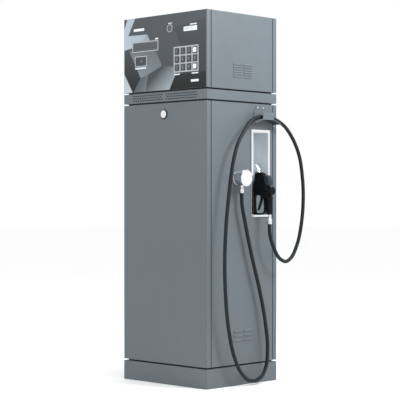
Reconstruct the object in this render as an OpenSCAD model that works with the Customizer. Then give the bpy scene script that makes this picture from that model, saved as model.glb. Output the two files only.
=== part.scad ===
// Self-contained fuel dispenser: a slim sheet-steel cabinet with an electronic head,
// a suction pump set inside, and a nozzle on a swivelled hose at its right-hand side.
// Millimetres. +Z up, the keypad side faces -Y and the hose side faces +X.
// The origin is the centre of the cabinet's footprint, on the floor.

/* [Cabinet] */
// Width of the cabinet, left to right
cab_w = 580; // [540:5:700]
// Depth of the cabinet, front to back
cab_d = 500; // [480:5:620]
// Height of the whole cabinet
cab_h = 1800; // [1760:5:2160]
// Height of the plinth
plinth_h = 94; // [60:1:120]
// Height of the vent band under the head
band_h = 47; // [40:1:80]
// Height of the head
head_h = 369; // [340:1:460]
// Shadow gap between one casing and the next
gap_h = 8; // [4:1:12]
// How far the frame stands in behind the shadow gaps
inset = 18; // [14:1:24]
// Thickness of the casing sheet
sheet = 2; // [1.5:0.5:3]
// Outer radius of the cabinet's vertical edges
corner_r = 4; // [2:0.5:8]
// How far the front and rear panels wrap round the sides
wrap = 28; // [24:1:40]
// Width of the groove between a wrapped panel and a side panel
groove = 5; // [3:1:8]
// Depth of the folded edge on a side panel
fold = 14; // [8:1:15]

/* [Frame and base] */
// Width of the frame's square tube
tube_w = 30; // [20:1:40]
// Wall of the plinth
plinth_t = 3; // [2:0.5:5]
// Width of the plinth's floor flange
flange_w = 60; // [40:1:80]
// Thickness of the plinth's floor flange
flange_t = 5; // [4:0.5:10]
// Diameter of an anchor hole
anchor_d = 14; // [8:0.5:20]
// Distance between anchor holes, left to right
anchor_x = 500; // [410:5:520]
// Distance between anchor holes, front to back
anchor_y = 420; // [350:5:440]
// Distance from the middle to a cross bar's middle
bar_y = 80; // [60:1:110]

/* [Head] */
// Thickness of the printed overlay on the head
overlay_t = 1; // [0.5:0.1:1.5]
// Width of a key's cap
key_w = 31; // [24:0.5:32]
// Distance from key to key, left to right
key_pitch_x = 40.7; // [38:0.1:46]
// Distance from key to key, up and down
key_pitch_z = 39.2; // [38:0.1:46]
// How far a key travels
key_travel = 1.5; // [0.5:0.1:2.5]
// Width of the display window
display_w = 187; // [120:1:200]
// Height of the display window
display_h = 51; // [30:1:60]
// Width of the card reader window
reader_w = 85; // [50:1:100]
// Height of the card reader window
reader_h = 52; // [30:1:60]
// Diameter of the tag reader ring
tag_d = 38; // [25:1:50]
// Width of the totalizer window
total_w = 90; // [60:1:110]
// Height of the totalizer window
total_h = 22; // [15:1:30]

/* [Nozzle pocket] */
// Width of the pocket's rim
pocket_w = 135; // [110:1:150]
// Height of the pocket's rim
pocket_h = 428; // [380:1:460]
// Depth of the pocket behind the side panel
pocket_depth = 110; // [105:1:160]
// Width of the pocket's rim flange at its sides and top
rim_w = 14; // [8:1:18]
// Thickness of the pocket's rim
rim_t = 5; // [3:0.5:8]
// Wall of the pocket
pocket_t = 1.5; // [1:0.5:3]

/* [Hose and fittings] */
// Diameter of the hose
hose_d = 18; // [18:0.5:20]
// Diameter of a hose ferrule
ferrule_d = 26; // [21.5:0.5:31.5]
// Diameter of the sight glass bezel
sight_d = 81; // [60:1:90]
// Diameter of the sight glass window
lens_d = 62; // [40:1:68]
// Radius of the hook's saddle
saddle_r = 205; // [180:5:260]
// Width of the hook's saddle
saddle_w = 186; // [140:2:200]

/* [Nozzle] */
// Width of the nozzle body across its flat sides
nozzle_t = 46; // [36:1:54]
// Diameter of the spout
spout_d = 21; // [17:0.5:25.5]
// Diameter of the grip
grip_d = 31; // [27:0.5:37.5]
// Diameter of the knob on the nozzle's valve cover
knob_d = 40; // [30:1:46]

/* [Pump set] */
// Diameter of the motor
motor_d = 150; // [120:5:165]
// Length of the motor
motor_len = 240; // [180:5:250]
// Diameter of the motor pulley
motor_pulley_d = 70; // [50:5:90]
// Diameter of the pump pulley
pump_pulley_d = 140; // [100:5:160]
// Diameter of the delivery pipe
pipe_d = 34; // [26:1:38]
// Diameter of the suction pipe
suction_d = 42; // [34:1:50]

/* [Fits] */
// Clearance round a fixed piece in its cut-out
fit_gap = 0.4; // [0.2:0.1:1]
// Radial clearance of a shaft or pin that turns in its bore
run_gap = 0.05; // [0.02:0.01:0.1]
// Distance kept between curved faces of pieces that move apart
safe_gap = 0.4; // [0.3:0.1:1]

/* [Hidden] */
$fn = 48;

// Colours
steel_paint = [0.47, 0.51, 0.55];
dark_paint = [0.16, 0.17, 0.19];
stainless = [0.82, 0.83, 0.84];
chrome_metal = [0.88, 0.89, 0.9];
black_plastic = [0.06, 0.06, 0.07];
grey_plastic = [0.2, 0.21, 0.23];
cast_paint = [0.33, 0.36, 0.4];
rubber_black = [0.1, 0.11, 0.12];

// Faces and levels of the cabinet
side_x = cab_w / 2;
face_y = cab_d / 2;
frame_x = side_x - inset;
frame_y = face_y - inset;
panel_z0 = plinth_h + gap_h;
head_z0 = cab_h - head_h;
band_z1 = head_z0 - gap_h;
band_z0 = band_z1 - band_h;
panel_z1 = band_z0 - gap_h;
seam_y = face_y - wrap;
side_half = seam_y - groove;
flange_y = face_y - inset + 2;
post_x = frame_x - tube_w;
post_y = frame_y - tube_w;
cut = 1;
louvre_skin = 1;

// Head openings, as middle x and middle z
display_at = [-132, head_z0 + 223.5];
reader_at = [-163.5, head_z0 + 152];
tag_at = [42, head_z0 + 298.5];
total_at = [182, head_z0 + 286.5];
keypad_at = [154.2, head_z0 + 142.5];
bezel_rim = 8;
bezel_lip = 2;
keypad_w = 3 * key_pitch_x + key_w + 2 * bezel_rim;
keypad_h = 2 * key_pitch_z + key_w + 2 * bezel_rim;
window_rim = 4;
overlay_y = -face_y - overlay_t;
well_y1 = -face_y + 9;
key_out = 2 * key_travel;
key_lip_y = -face_y + 1;
board_y0 = well_y1 + 1;
board_t = 2;
KEYS = [
  ["key_1", 0, 0], ["key_2", 1, 0], ["key_3", 2, 0], ["key_clear", 3, 0],
  ["key_4", 0, 1], ["key_5", 1, 1], ["key_6", 2, 1], ["key_0", 3, 1],
  ["key_7", 0, 2], ["key_8", 1, 2], ["key_9", 2, 2], ["key_enter", 3, 2]
];

// Locks of the two lift-off panels
lock_z = panel_z1 - 53;
lock_ring_d = 50;
lock_face_d = 37;
lock_case_d = 26;
lock_shaft_d = 18;
cam_len = 28;
cam_w = 14;
cam_y = frame_y - 3.5;
cam_t = 3;
catch_w = 50;
catch_h = 16;
catch_t = 2;
hook_tab_x = 220;
hook_tab_w = 20;
hook_tab_y = face_y - 8;
hook_tab_t = 3;
hook_tab_rise = 10;

// Levels on the hose side, down from the top of the side panel
screw_z = panel_z1 - 19;
hook_z = screw_z - 54.5;

// Nozzle pocket and nozzle
nozzle_y = 127;
pocket_z0 = hook_z - 52.5 - pocket_h;
pocket_sill = 9.6;
pocket_floor = pocket_z0 + pocket_sill;
pocket_top = pocket_z0 + pocket_h - rim_w;
pocket_half = pocket_w / 2 - rim_w;
nozzle_z = pocket_floor + 0.4;
grip_s = 62;
inlet_d = 24;
swivel_neck_d = 17;
swivel_reach = 20;
swivel_drop = 45;
ferrule_len = 25;
lever_pivot = [6, 101];
lever_pin_d = 5;
lever_t = 14;
spout_root = [-10, 206];
spout_tilt = 25;
spout_bend = 22;
spout_bend_r = 60;
spout_base = 26;
spout_reach = 62;
spout_wall = 1.6;
spout_step = 0.6;
collar_d = 35;

// Sight glass and outlet
sight_y = -39;
sight_z = pocket_z0 + 188.5;
sight_face = 66;
sight_case_d = 70;
sight_rim = 22;
spinner_r = lens_d / 2 - 9;
outlet_s = 30;
hose_top_z = sight_z - 72.5;

// Hook
hook_reach = 56;
hook_t = 3;
hook_plate_t = 3;
lip_h = 30;
lip_w = 80;
screw_dy = 19.5;
screw_d = 5;

// Pump set, up from the cross bars that it stands on
bars_z = plinth_h + tube_w;
motor_at = [-145, bars_z + motor_d / 2 + 15];
pump_at = [90, bars_z + 126];
belt_y = -150;
belt_w = 16;
belt_t = 6;
pump_x = [-20, 225];
pump_y = [-105, 120];
pump_z1 = bars_z + 226;
meter_z = [pump_z1 + 130, pump_z1 + 270];
meter_d = 170;
riser_x = 150;
bend_r = 50;
suction_at = [60, 172];
suction_z = bars_z + 76;

// Route of the hose: distance out from the right-hand face, then y and z
ROUTE = [
  [30, -39, 930], [30, -38, 890], [30, -12, 780], [30, 35, 620], [31, 88, 460],
  [34, 127, 300], [38, 140, 160], [40, 127, 84], [42, 92, 36], [44, 45, 20],
  [45, -5, 26], [48, -62, 68], [51, -112, 145], [54, -151, 260], [57, -178, 420],
  [58, -187, 580], [58, -180, 750], [58, -155, 940], [56, -121, 1095], [52, -90, 1165],
  [46, -50, 1214], [40, -4, 1259], [35, 42, 1290.5], [33, 85, 1302], [33, 127, 1306],
  [34, 169, 1302], [37, 212, 1289], [43, 258, 1264], [52, 304, 1212], [62, 345, 1130],
  [68, 368, 1010], [70, 372, 900], [70, 362, 800], [68, 322, 665], [67, 285, 612],
  [66, 243, 592], [65, 203, 606], [63, 153, 670], [62, 128, 738], [62, 127, 779]
];
hose_sides = 10;
ring_step = 50;

// ---- Shared shapes ----

// A box from its lowest to its highest corner, each axis as [low, high]
module slab(x, y, z) {
  translate([x[0], y[0], z[0]]) cube([x[1] - x[0], y[1] - y[0], z[1] - z[0]]);
}

// Round bars along each axis
module bar_x(d, x, y, z) {
  translate([x[0], y, z]) rotate([0, 90, 0]) cylinder(d = d, h = x[1] - x[0]);
}
module bar_y(d, x, y, z) {
  translate([x, y[0], z]) rotate([-90, 0, 0]) cylinder(d = d, h = y[1] - y[0]);
}
module bar_z(d, x, y, z) {
  translate([x, y, z[0]]) cylinder(d = d, h = z[1] - z[0]);
}

// The cabinet's plan with rounded corners, pulled in by an amount
module plan(pull = 0) {
  w = cab_w - 2 * pull;
  d = cab_d - 2 * pull;
  r = max(corner_r - pull, 1);
  square([w - 2 * r, d], center = true);
  square([w, d - 2 * r], center = true);
  for (sx = [-1, 1], sy = [-1, 1])
    translate([sx * (w / 2 - r), sy * (d / 2 - r)]) circle(r);
}
module casing(z0, z1, pull = 0) {
  translate([0, 0, z0]) linear_extrude(z1 - z0) plan(pull);
}

// A block in the head's front, from its middle, its size and its y range
module head_block(at, w, h, y) {
  slab([at[0] - w / 2, at[0] + w / 2], y, [at[1] - h / 2, at[1] + h / 2]);
}
// A rectangular ring in the head's front
module head_ring(at, w, h, rim, y) {
  difference() {
    head_block(at, w, h, y);
    head_block(at, w - 2 * rim, h - 2 * rim, [y[0] - cut, y[1] + cut]);
  }
}

// A pressed louvre on a face that looks along +X: its slot, and its hood
module louvre_slot(y, z, h) {
  slab([side_x - sheet - cut, side_x + cut], [y[0] + louvre_skin, y[1] - louvre_skin],
    [z - 0.3 * h, z + 0.3 * h]);
}
module louvre_hood(y, z, h, out) {
  skin = louvre_skin;
  outer = [[0, 0.5 * h], [out, -0.1 * h], [out, -0.4 * h], [0, -0.4 * h]];
  strip = [
    [0, 0.5 * h], [out, -0.1 * h], [out, -0.4 * h], [out - skin, -0.4 * h],
    [out - skin, -0.12 * h], [0, 0.32 * h]
  ];
  translate([side_x, y[1], z]) rotate([90, 0, 0]) {
    linear_extrude(y[1] - y[0]) polygon(strip);
    linear_extrude(skin) polygon(outer);
    translate([0, 0, y[1] - y[0] - skin]) linear_extrude(skin) polygon(outer);
  }
}
head_louvre_h = 9;
head_hood = 3;
low_louvre_h = 11;
low_hood = 4;
HEAD_LOUVRES = [for (r = [0:5], c = [[-67, -5], [7, 68]]) [c, head_z0 + 122.5 - 12.2 * r]];
LOW_LOUVRES = [for (r = [0:2], c = [[-63, -1], [9, 71]]) [c, 262 - 21.5 * r]];

// A sheet panel for the right-hand side with folded edges
module side_panel(z0, z1) {
  difference() {
    slab([side_x - fold, side_x], [-side_half, side_half], [z0, z1]);
    slab([side_x - fold - cut, side_x - sheet], [sheet - side_half, side_half - sheet],
      [z0 + sheet, z1 - sheet]);
  }
}

// A sheet panel for the front, wrapped round both sides
module wrapped_panel(z0, z1, shelf) {
  lip_x = side_x - fold;
  difference() {
    intersection() {
      casing(z0, z1);
      slab([-cab_w, cab_w], [-cab_d, -seam_y], [z0, z1]);
    }
    slab([sheet - side_x, side_x - sheet], [sheet - face_y, -seam_y - sheet],
      [z0 + sheet, z1 - sheet]);
    slab([-lip_x, lip_x], [-seam_y - sheet - cut, cut - seam_y], [z0 + sheet, z1 - sheet]);
    if (!shelf)
      slab([-lip_x, lip_x], [-flange_y, cut - seam_y], [z0 - cut, z1 + cut]);
  }
}

// The hooks that a lift-off panel stands on
module panel_hooks() {
  for (sx = [-1, 1]) {
    slab([sx * hook_tab_x - hook_tab_w / 2, sx * hook_tab_x + hook_tab_w / 2],
      [-hook_tab_y - hook_tab_t / 2, hook_tab_t / 2 - hook_tab_y],
      [plinth_h, panel_z0 + hook_tab_rise]);
    slab([sx * hook_tab_x - hook_tab_w / 2, sx * hook_tab_x + hook_tab_w / 2],
      [-hook_tab_y, -frame_y], [plinth_h, plinth_h + gap_h / 2]);
  }
}
module panel_slots() {
  for (sx = [-1, 1])
    slab([sx * hook_tab_x - hook_tab_w / 2 - 2, sx * hook_tab_x + hook_tab_w / 2 + 2],
      [-hook_tab_y - 4, 4 - hook_tab_y], [panel_z0 - cut, panel_z0 + sheet + cut]);
}
module lock_catch() {
  slab([-catch_w / 2, catch_w / 2], [-frame_y, catch_t - frame_y],
    [panel_z1 - tube_w + gap_h - catch_h, panel_z1 - tube_w + gap_h]);
}

// ---- Base and frame ----

module base_plinth() {
  top_lip = inset + 10;
  color(steel_paint) difference() {
    casing(0, plinth_h);
    casing(flange_t, plinth_h - plinth_t, plinth_t);
    casing(-cut, flange_t + cut, flange_w);
    casing(plinth_h - plinth_t - cut, plinth_h + cut, top_lip);
    for (sx = [-1, 1], sy = [-1, 1])
      bar_z(anchor_d, sx * anchor_x / 2, sy * anchor_y / 2, [-cut, flange_t + cut]);
  }
}

// One level of the frame: four tubes laid in a rectangle between the posts
module frame_ring(z) {
  for (s = [-1, 1]) {
    slab([-frame_x, frame_x], [s > 0 ? post_y : -frame_y, s > 0 ? frame_y : -post_y], z);
    slab([s > 0 ? post_x : -frame_x, s > 0 ? frame_x : -post_x], [-frame_y, frame_y], z);
  }
}

module cabinet_frame() {
  color(dark_paint) {
    for (sx = [-1, 1], sy = [-1, 1])
      translate([sx * (frame_x - tube_w / 2), sy * (frame_y - tube_w / 2), plinth_h])
        translate([-tube_w / 2, -tube_w / 2, 0]) cube([tube_w, tube_w, band_z0 - plinth_h]);
    frame_ring([plinth_h, plinth_h + tube_w]);
    frame_ring([band_z0 - tube_w, band_z0]);
    for (sy = [-1, 1])
      slab([-frame_x, frame_x], [sy * bar_y - tube_w / 2, sy * bar_y + tube_w / 2],
        [plinth_h, plinth_h + tube_w]);
    for (turn = [0, 180]) rotate([0, 0, turn]) {
      panel_hooks();
      lock_catch();
    }
  }
}

// ---- Cabinet panels ----

module right_side_panel() {
  hole_half = pocket_half + pocket_t + fit_gap;
  color(steel_paint) {
    difference() {
      side_panel(panel_z0, panel_z1);
      slab([side_x - fold, side_x + cut], [nozzle_y - hole_half, nozzle_y + hole_half],
        [pocket_floor - pocket_t - fit_gap, pocket_top + pocket_t + fit_gap]);
      bar_x(pipe_d + 2 * fit_gap, [side_x - fold, side_x + cut], sight_y, sight_z);
      hook_screws(fit_gap);
      for (l = LOW_LOUVRES) louvre_slot(l[0], l[1], low_louvre_h);
    }
    for (l = LOW_LOUVRES) louvre_hood(l[0], l[1], low_louvre_h, low_hood);
  }
}

module left_side_panel() {
  color(steel_paint) mirror([1, 0, 0]) {
    difference() {
      side_panel(panel_z0, panel_z1);
      for (l = LOW_LOUVRES) louvre_slot(l[0], l[1], low_louvre_h);
    }
    for (l = LOW_LOUVRES) louvre_hood(l[0], l[1], low_louvre_h, low_hood);
  }
}

module lift_off_panel() {
  difference() {
    wrapped_panel(panel_z0, panel_z1, false);
    panel_slots();
    bar_y(lock_case_d + 2 * fit_gap, 0, [-face_y - cut, sheet - face_y + cut], lock_z);
  }
}
module front_panel() {
  color(steel_paint) lift_off_panel();
}
module rear_panel() {
  color(steel_paint) rotate([0, 0, 180]) lift_off_panel();
}

// Three staggered rows of slots on each half of the band
module band_slots() {
  slot_w = 11;
  slot_h = 4;
  pitch = 16.4;
  for (row = [-1:1], half = [-1, 1], i = [0:12]) {
    x = half * (18 + (row == 0 ? 5 : 0) + i * pitch);
    z = (band_z0 + band_z1) / 2 + row * 12;
    slab([x - slot_w / 2, x + slot_w / 2], [-face_y - cut, sheet - face_y + cut],
      [z - slot_h / 2, z + slot_h / 2]);
  }
}

module vent_band() {
  lip = inset + 12;
  color(steel_paint) difference() {
    casing(band_z0, band_z1);
    casing(band_z0 + sheet, band_z1 - sheet, sheet);
    casing(band_z0 - cut, band_z1 + cut, lip);
    band_slots();
    rotate([0, 0, 180]) band_slots();
  }
}

// ---- Head ----

module head_base_tray() {
  grommet_d = 40;
  color(dark_paint) difference() {
    slab([-frame_x, frame_x], [-frame_y, frame_y], [band_z1, head_z0]);
    slab([sheet - frame_x, frame_x - sheet], [sheet - frame_y, frame_y - sheet],
      [band_z1 + sheet, head_z0 + cut]);
    bar_z(grommet_d, -200, 150, [band_z1 - cut, head_z0]);
  }
}

// What the head's front sheet and its overlay leave open
module head_cutouts(y) {
  grow = 2 * fit_gap;
  head_block(display_at, display_w + grow, display_h + grow, y);
  head_block(reader_at, reader_w + grow, reader_h + grow, y);
  head_block(total_at, total_w + grow, total_h + grow, y);
  head_block(keypad_at, keypad_w - 2 * bezel_lip + grow, keypad_h - 2 * bezel_lip + grow, y);
  bar_y(tag_d - 6 + grow, tag_at[0], y, tag_at[1]);
}

module head_front_tray() {
  color(steel_paint) difference() {
    wrapped_panel(head_z0, cab_h, true);
    head_cutouts([-face_y - cut, sheet - face_y + cut]);
  }
}

module head_rear_tray() {
  color(steel_paint) rotate([0, 0, 180]) wrapped_panel(head_z0, cab_h, true);
}

// Both sides and the top in one folded sheet
module head_cover() {
  color(steel_paint) {
    difference() {
      slab([-side_x, side_x], [-side_half, side_half], [head_z0, cab_h]);
      slab([sheet - side_x, side_x - sheet], [sheet - side_half, side_half - sheet],
        [head_z0 + sheet, cab_h - sheet]);
      slab([fold - side_x, side_x - fold], [-side_half - cut, side_half + cut],
        [head_z0 - cut, cab_h - fold]);
      for (s = [0, 1]) mirror([s, 0, 0])
        for (l = HEAD_LOUVRES) louvre_slot(l[0], l[1], head_louvre_h);
    }
    for (s = [0, 1]) mirror([s, 0, 0])
      for (l = HEAD_LOUVRES) louvre_hood(l[0], l[1], head_louvre_h, head_hood);
  }
}

module fascia_overlay() {
  edge = 1;
  color(dark_paint) difference() {
    slab([corner_r + edge - side_x, side_x - corner_r - edge], [overlay_y, -face_y],
      [head_z0 + edge, cab_h - edge]);
    head_cutouts([overlay_y - cut, cut - face_y]);
  }
}

// A framed window: a raised rim, a clear pane and a shallow case behind them
module framed_window(at, w, h, deep) {
  head_ring(at, w, h, window_rim, [overlay_y - 1, -face_y + deep]);
  head_block(at, w - 2 * window_rim, h - 2 * window_rim, [overlay_y, overlay_y + 2]);
}
module display_window() {
  color(grey_plastic) framed_window(display_at, display_w, display_h, 5);
}
module card_reader() {
  color(grey_plastic) {
    framed_window(reader_at, reader_w, reader_h, 5);
    head_block(reader_at, reader_w, reader_h, [5 - face_y, well_y1]);
  }
}
module tag_reader() {
  color(stainless) {
    difference() {
      bar_y(tag_d, tag_at[0], [overlay_y - 2.5, overlay_y], tag_at[1]);
      bar_y(tag_d - 8, tag_at[0], [overlay_y - 4, overlay_y - 1], tag_at[1]);
    }
    bar_y(tag_d - 6, tag_at[0], [overlay_y, well_y1], tag_at[1]);
  }
}
module totalizer() {
  color([0.85, 0.86, 0.87]) {
    head_ring(total_at, total_w, total_h, 2, [overlay_y - 1, -face_y + 5]);
    head_block(total_at, total_w - 4, total_h - 4, [-face_y, well_y1]);
  }
}

module keypad_bezel() {
  well = key_w + 2 * fit_gap;
  color([0.68, 0.7, 0.72]) difference() {
    union() {
      head_block(keypad_at, keypad_w, keypad_h, [overlay_y - 2, overlay_y]);
      head_block(keypad_at, keypad_w - 2 * bezel_lip, keypad_h - 2 * bezel_lip, [overlay_y, well_y1]);
    }
    for (k = KEYS) {
      head_block(key_at(k), well, well, [overlay_y - 3, well_y1 + cut]);
      head_block(key_at(k), well + 4, well + 4, [key_lip_y, well_y1 + cut]);
    }
  }
}

function key_at(k) = [
  keypad_at[0] + (k[1] - 1.5) * key_pitch_x,
  keypad_at[1] + (1 - k[2]) * key_pitch_z
];
module key_cap(i) {
  k = KEYS[i];
  tint = k[1] == 3 && k[2] != 1 ? [0.9, 0.9, 0.9] : black_plastic;
  color(tint) {
    head_block(key_at(k), key_w, key_w, [overlay_y - 2 - key_out, key_lip_y + safe_gap]);
    head_block(key_at(k), key_w + 4, key_w + 4, [key_lip_y + safe_gap, key_lip_y + safe_gap + 2]);
  }
}

module controller_board() {
  color([0.1, 0.35, 0.22]) slab([-235, 245], [board_y0, board_y0 + board_t],
    [head_z0 + 40, cab_h - 40]);
  color([0.25, 0.27, 0.25]) {
    head_block(display_at, display_w - 20, display_h - 12, [-face_y + 6, board_y0]);
    for (i = [0:3]) slab([-60 + 34 * i, -36 + 34 * i], [board_y0 + board_t, board_y0 + 8],
      [head_z0 + 60, head_z0 + 84]);
    slab([-220, -160], [board_y0 + board_t, board_y0 + 20], [head_z0 + 50, head_z0 + 90]);
  }
}

module power_supply() {
  tray_z = band_z1 + sheet;
  color(stainless) {
    slab([-110, 90], [20, 130], [tray_z, tray_z + 62]);
    for (s = [-1, 1]) slab([-10 + s * 100 - 14, -10 + s * 100 + 14], [60, 90], [tray_z, tray_z + 2]);
  }
}

// ---- Locks ----

module lock_body() {
  color(dark_paint) difference() {
    union() {
      bar_y(lock_ring_d, 0, [-face_y - 2, -face_y], lock_z);
      bar_y(lock_case_d, 0, [-face_y, -cam_y - 1], lock_z);
    }
    bar_y(lock_shaft_d + 2 * run_gap, 0, [-face_y - 3, cut - cam_y], lock_z);
  }
}
module lock_barrel() {
  color(chrome_metal) {
    difference() {
      bar_y(lock_face_d, 0, [-face_y - 5, -face_y - 2 - safe_gap], lock_z);
      slab([-1.2, 1.2], [-face_y - 6, -face_y - 3.5], [lock_z - 5, lock_z + 5]);
    }
    bar_y(lock_shaft_d, 0, [-face_y - 2 - safe_gap, -cam_y + safe_gap], lock_z);
    slab([-cam_w / 2, cam_len], [-cam_y + safe_gap, -cam_y + safe_gap + cam_t],
      [lock_z - cam_w / 2, lock_z + cam_w / 2]);
  }
}
module front_lock_body() {
  lock_body();
}
module front_lock_barrel() {
  lock_barrel();
}
module rear_lock_body() {
  rotate([0, 0, 180]) lock_body();
}
module rear_lock_barrel() {
  rotate([0, 0, 180]) lock_barrel();
}

// ---- Pump set ----

shaft_end = belt_y - 14;
shaft_d = 24;

module motor() {
  y0 = -motor_len / 2 + 10;
  y1 = motor_len / 2 + 10;
  color(cast_paint) {
    bar_y(motor_d, motor_at[0], [y0, y1], motor_at[1]);
    slab([motor_at[0] - 60, motor_at[0] + 60], [y0 + 20, y1 - 20], [bars_z, bars_z + 30]);
    slab([motor_at[0] - 40, motor_at[0] + 40], [-40, 50],
      [motor_at[1], motor_at[1] + motor_d / 2 + 28]);
    bar_y(shaft_d, motor_at[0], [shaft_end, y0], motor_at[1]);
  }
}
module pump_unit() {
  color(cast_paint) {
    difference() {
      union() {
        slab(pump_x, pump_y, [bars_z, pump_z1]);
        bar_z(90, 170, 20, [pump_z1, pump_z1 + 60]);
        bar_z(56, 60, 0, [pump_z1, pump_z1 + 20]);
        bar_y(90, pump_at[0], [pump_y[0] - 16, pump_y[0]], pump_at[1]);
        bar_y(64, suction_at[0], [pump_y[1], pump_y[1] + 12], suction_z);
      }
      bar_z(pipe_d, 60, 0, [pump_z1 - 30, pump_z1 + 21]);
    }
    bar_y(shaft_d, pump_at[0], [shaft_end, pump_y[0] - 16], pump_at[1]);
  }
}

// A grooved wheel that turns on a shaft along Y
module pulley(d, at) {
  flange_at = belt_w / 2 + 1.5;
  difference() {
    union() {
      bar_y(d, at[0], [belt_y - belt_w / 2, belt_y + belt_w / 2], at[1]);
      for (s = [-1, 1])
        bar_y(d + 8, at[0], [belt_y + s * flange_at - 1.5, belt_y + s * flange_at + 1.5], at[1]);
    }
    bar_y(shaft_d + 2 * run_gap, at[0], [belt_y - belt_w, belt_y + belt_w], at[1]);
  }
}
module motor_pulley() {
  color(stainless) pulley(motor_pulley_d, motor_at);
}
module pump_pulley() {
  color(stainless) pulley(pump_pulley_d, pump_at);
}

// The belt's loop as a flat outline, grown by an amount
module belt_loop(grow) {
  hull() {
    translate(motor_at) circle(d = motor_pulley_d + 2 * grow, $fn = 64);
    translate(pump_at) circle(d = pump_pulley_d + 2 * grow, $fn = 64);
  }
}
module drive_belt() {
  half = belt_w / 2 - safe_gap;
  color(rubber_black) translate([0, belt_y + half, 0]) rotate([90, 0, 0])
    linear_extrude(2 * half) difference() {
      belt_loop(belt_t);
      belt_loop(safe_gap);
    }
}

module flow_meter() {
  mid = (meter_z[0] + meter_z[1]) / 2;
  color(cast_paint) difference() {
    union() {
      bar_z(meter_d, 60, 0, meter_z);
      bar_z(meter_d * 0.5, 60, 0, [meter_z[1], meter_z[1] + 50]);
      for (a = [45:90:315]) translate([60, 0, mid]) rotate([0, 90, a])
        cylinder(d = 70, h = meter_d / 2 + 22);
      slab([60, riser_x + 20], [sight_y - 24, sight_y + 24], [meter_z[1] - 60, meter_z[1]]);
      bar_z(pipe_d + 14, riser_x, sight_y, [meter_z[1] - 60, meter_z[1] + 12]);
    }
    bar_z(pipe_d + 2 * run_gap, riser_x, sight_y, [meter_z[1] - 30, meter_z[1] + 13]);
  }
}
module solenoid_valve() {
  z0 = pump_z1 + 20;
  color([0.66, 0.55, 0.3]) {
    bar_z(pipe_d, 60, 0, [z0 - 40, z0]);
    bar_z(54, 60, 0, [z0, meter_z[0]]);
    slab([32, 88], [-28, 28], [z0 + 20, z0 + 60]);
  }
  color(black_plastic) bar_y(44, 60, [-86, -28], z0 + 40);
}

// A bend of a quarter turn in the plane of two axes, drawn round the Z axis
module quarter_bend(d, r) {
  rotate_extrude(angle = 90) translate([r, 0]) circle(d = d);
}
// Where the supply pipe from the tank enters
module inlet_bore() {
  bar_z(suction_d - 8, suction_at[0], suction_at[1], [20 - cut, 60]);
}
module suction_pipe() {
  top_y = pump_y[1] + 12;
  r = suction_at[1] - top_y;
  color(cast_paint) {
    difference() {
      bar_z(suction_d + 34, suction_at[0], suction_at[1], [20, 32]);
      inlet_bore();
    }
    difference() {
      bar_z(suction_d, suction_at[0], suction_at[1], [20, suction_z - r]);
      inlet_bore();
    }
    translate([suction_at[0], top_y, suction_z - r]) rotate([0, -90, 0])
      quarter_bend(suction_d, r);
  }
}
module delivery_pipe() {
  color(stainless) {
    bar_z(pipe_d, riser_x, sight_y, [meter_z[1] - 30, sight_z - bend_r]);
    translate([riser_x + bend_r, sight_y, sight_z - bend_r]) rotate([90, 0, 0]) rotate([0, 0, 90])
      quarter_bend(pipe_d, bend_r);
    bar_x(pipe_d, [riser_x + bend_r, side_x], sight_y, sight_z);
  }
}
module junction_box() {
  x0 = -post_x + 4;
  gland_dx = 23;
  gland_y = 155;
  color(cast_paint) difference() {
    union() {
      slab([x0, x0 + 90], [60, 180], [600, 760]);
      slab([-post_x, x0], [150, post_y + 20], [640, 720]);
      for (s = [-1, 1]) bar_z(26, x0 + 45 + s * gland_dx, gland_y, [580, 600]);
    }
    for (s = [-1, 1]) bar_z(16, x0 + 45 + s * gland_dx, gland_y, [580 - cut, 612]);
  }
}

// ---- Hose side ----

module hose_hook() {
  mid_z = hook_z - saddle_r;
  plate = [
    [-47, -6], [-47, 38], [-28, 64.5], [19.5, 64.5], [45, 38], [45, -6]
  ];
  color(steel_paint) {
    difference() {
      translate([side_x, nozzle_y, hook_z]) rotate([90, 0, 90]) linear_extrude(hook_plate_t)
        polygon(plate);
      hook_screws(fit_gap);
    }
    intersection() {
      difference() {
        bar_x(2 * saddle_r, [side_x, side_x + hook_reach], nozzle_y, mid_z);
        bar_x(2 * (saddle_r - hook_t), [side_x - cut, side_x + hook_reach + cut], nozzle_y, mid_z);
      }
      slab([side_x, side_x + hook_reach], [nozzle_y - saddle_w / 2, nozzle_y + saddle_w / 2],
        [mid_z, hook_z + cut]);
    }
    slab([side_x + hook_reach - hook_t, side_x + hook_reach], [nozzle_y - lip_w / 2, nozzle_y + lip_w / 2],
      [hook_z - 6, hook_z + lip_h]);
  }
}
// The two screws that hold the hook, or their holes when grown
module hook_screws(grow) {
  for (s = [-1, 1])
    bar_x(screw_d + 2 * grow, [side_x - sheet - 8, side_x + hook_plate_t + grow],
      nozzle_y + s * screw_dy, screw_z);
}
module fixing_screws() {
  color(chrome_metal) {
    for (s = [-1, 1])
      bar_x(2 * screw_d, [side_x + hook_plate_t, side_x + hook_plate_t + 3.5],
        nozzle_y + s * screw_dy, screw_z);
    hook_screws(0);
  }
}

module pocket_block(grow, x, floor_grow) {
  slab(x, [nozzle_y - pocket_half - grow, nozzle_y + pocket_half + grow],
    [pocket_floor - floor_grow, pocket_top + grow]);
}
module nozzle_pocket() {
  rim_half = pocket_w / 2;
  color(stainless) difference() {
    union() {
      pocket_block(pocket_t, [side_x - pocket_depth - pocket_t, side_x + cut], pocket_t);
      slab([side_x, side_x + rim_t], [nozzle_y - rim_half, nozzle_y + rim_half],
        [pocket_z0, pocket_z0 + pocket_h]);
    }
    pocket_block(0, [side_x - pocket_depth, side_x + rim_t + cut], 0);
  }
}
module nozzle_sensor() {
  back = side_x - pocket_depth - pocket_t;
  color(grey_plastic) {
    bar_x(18, [back - 46, back], nozzle_y, pocket_floor + 60);
    bar_x(30, [back - 8, back], nozzle_y, pocket_floor + 60);
  }
}

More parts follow.
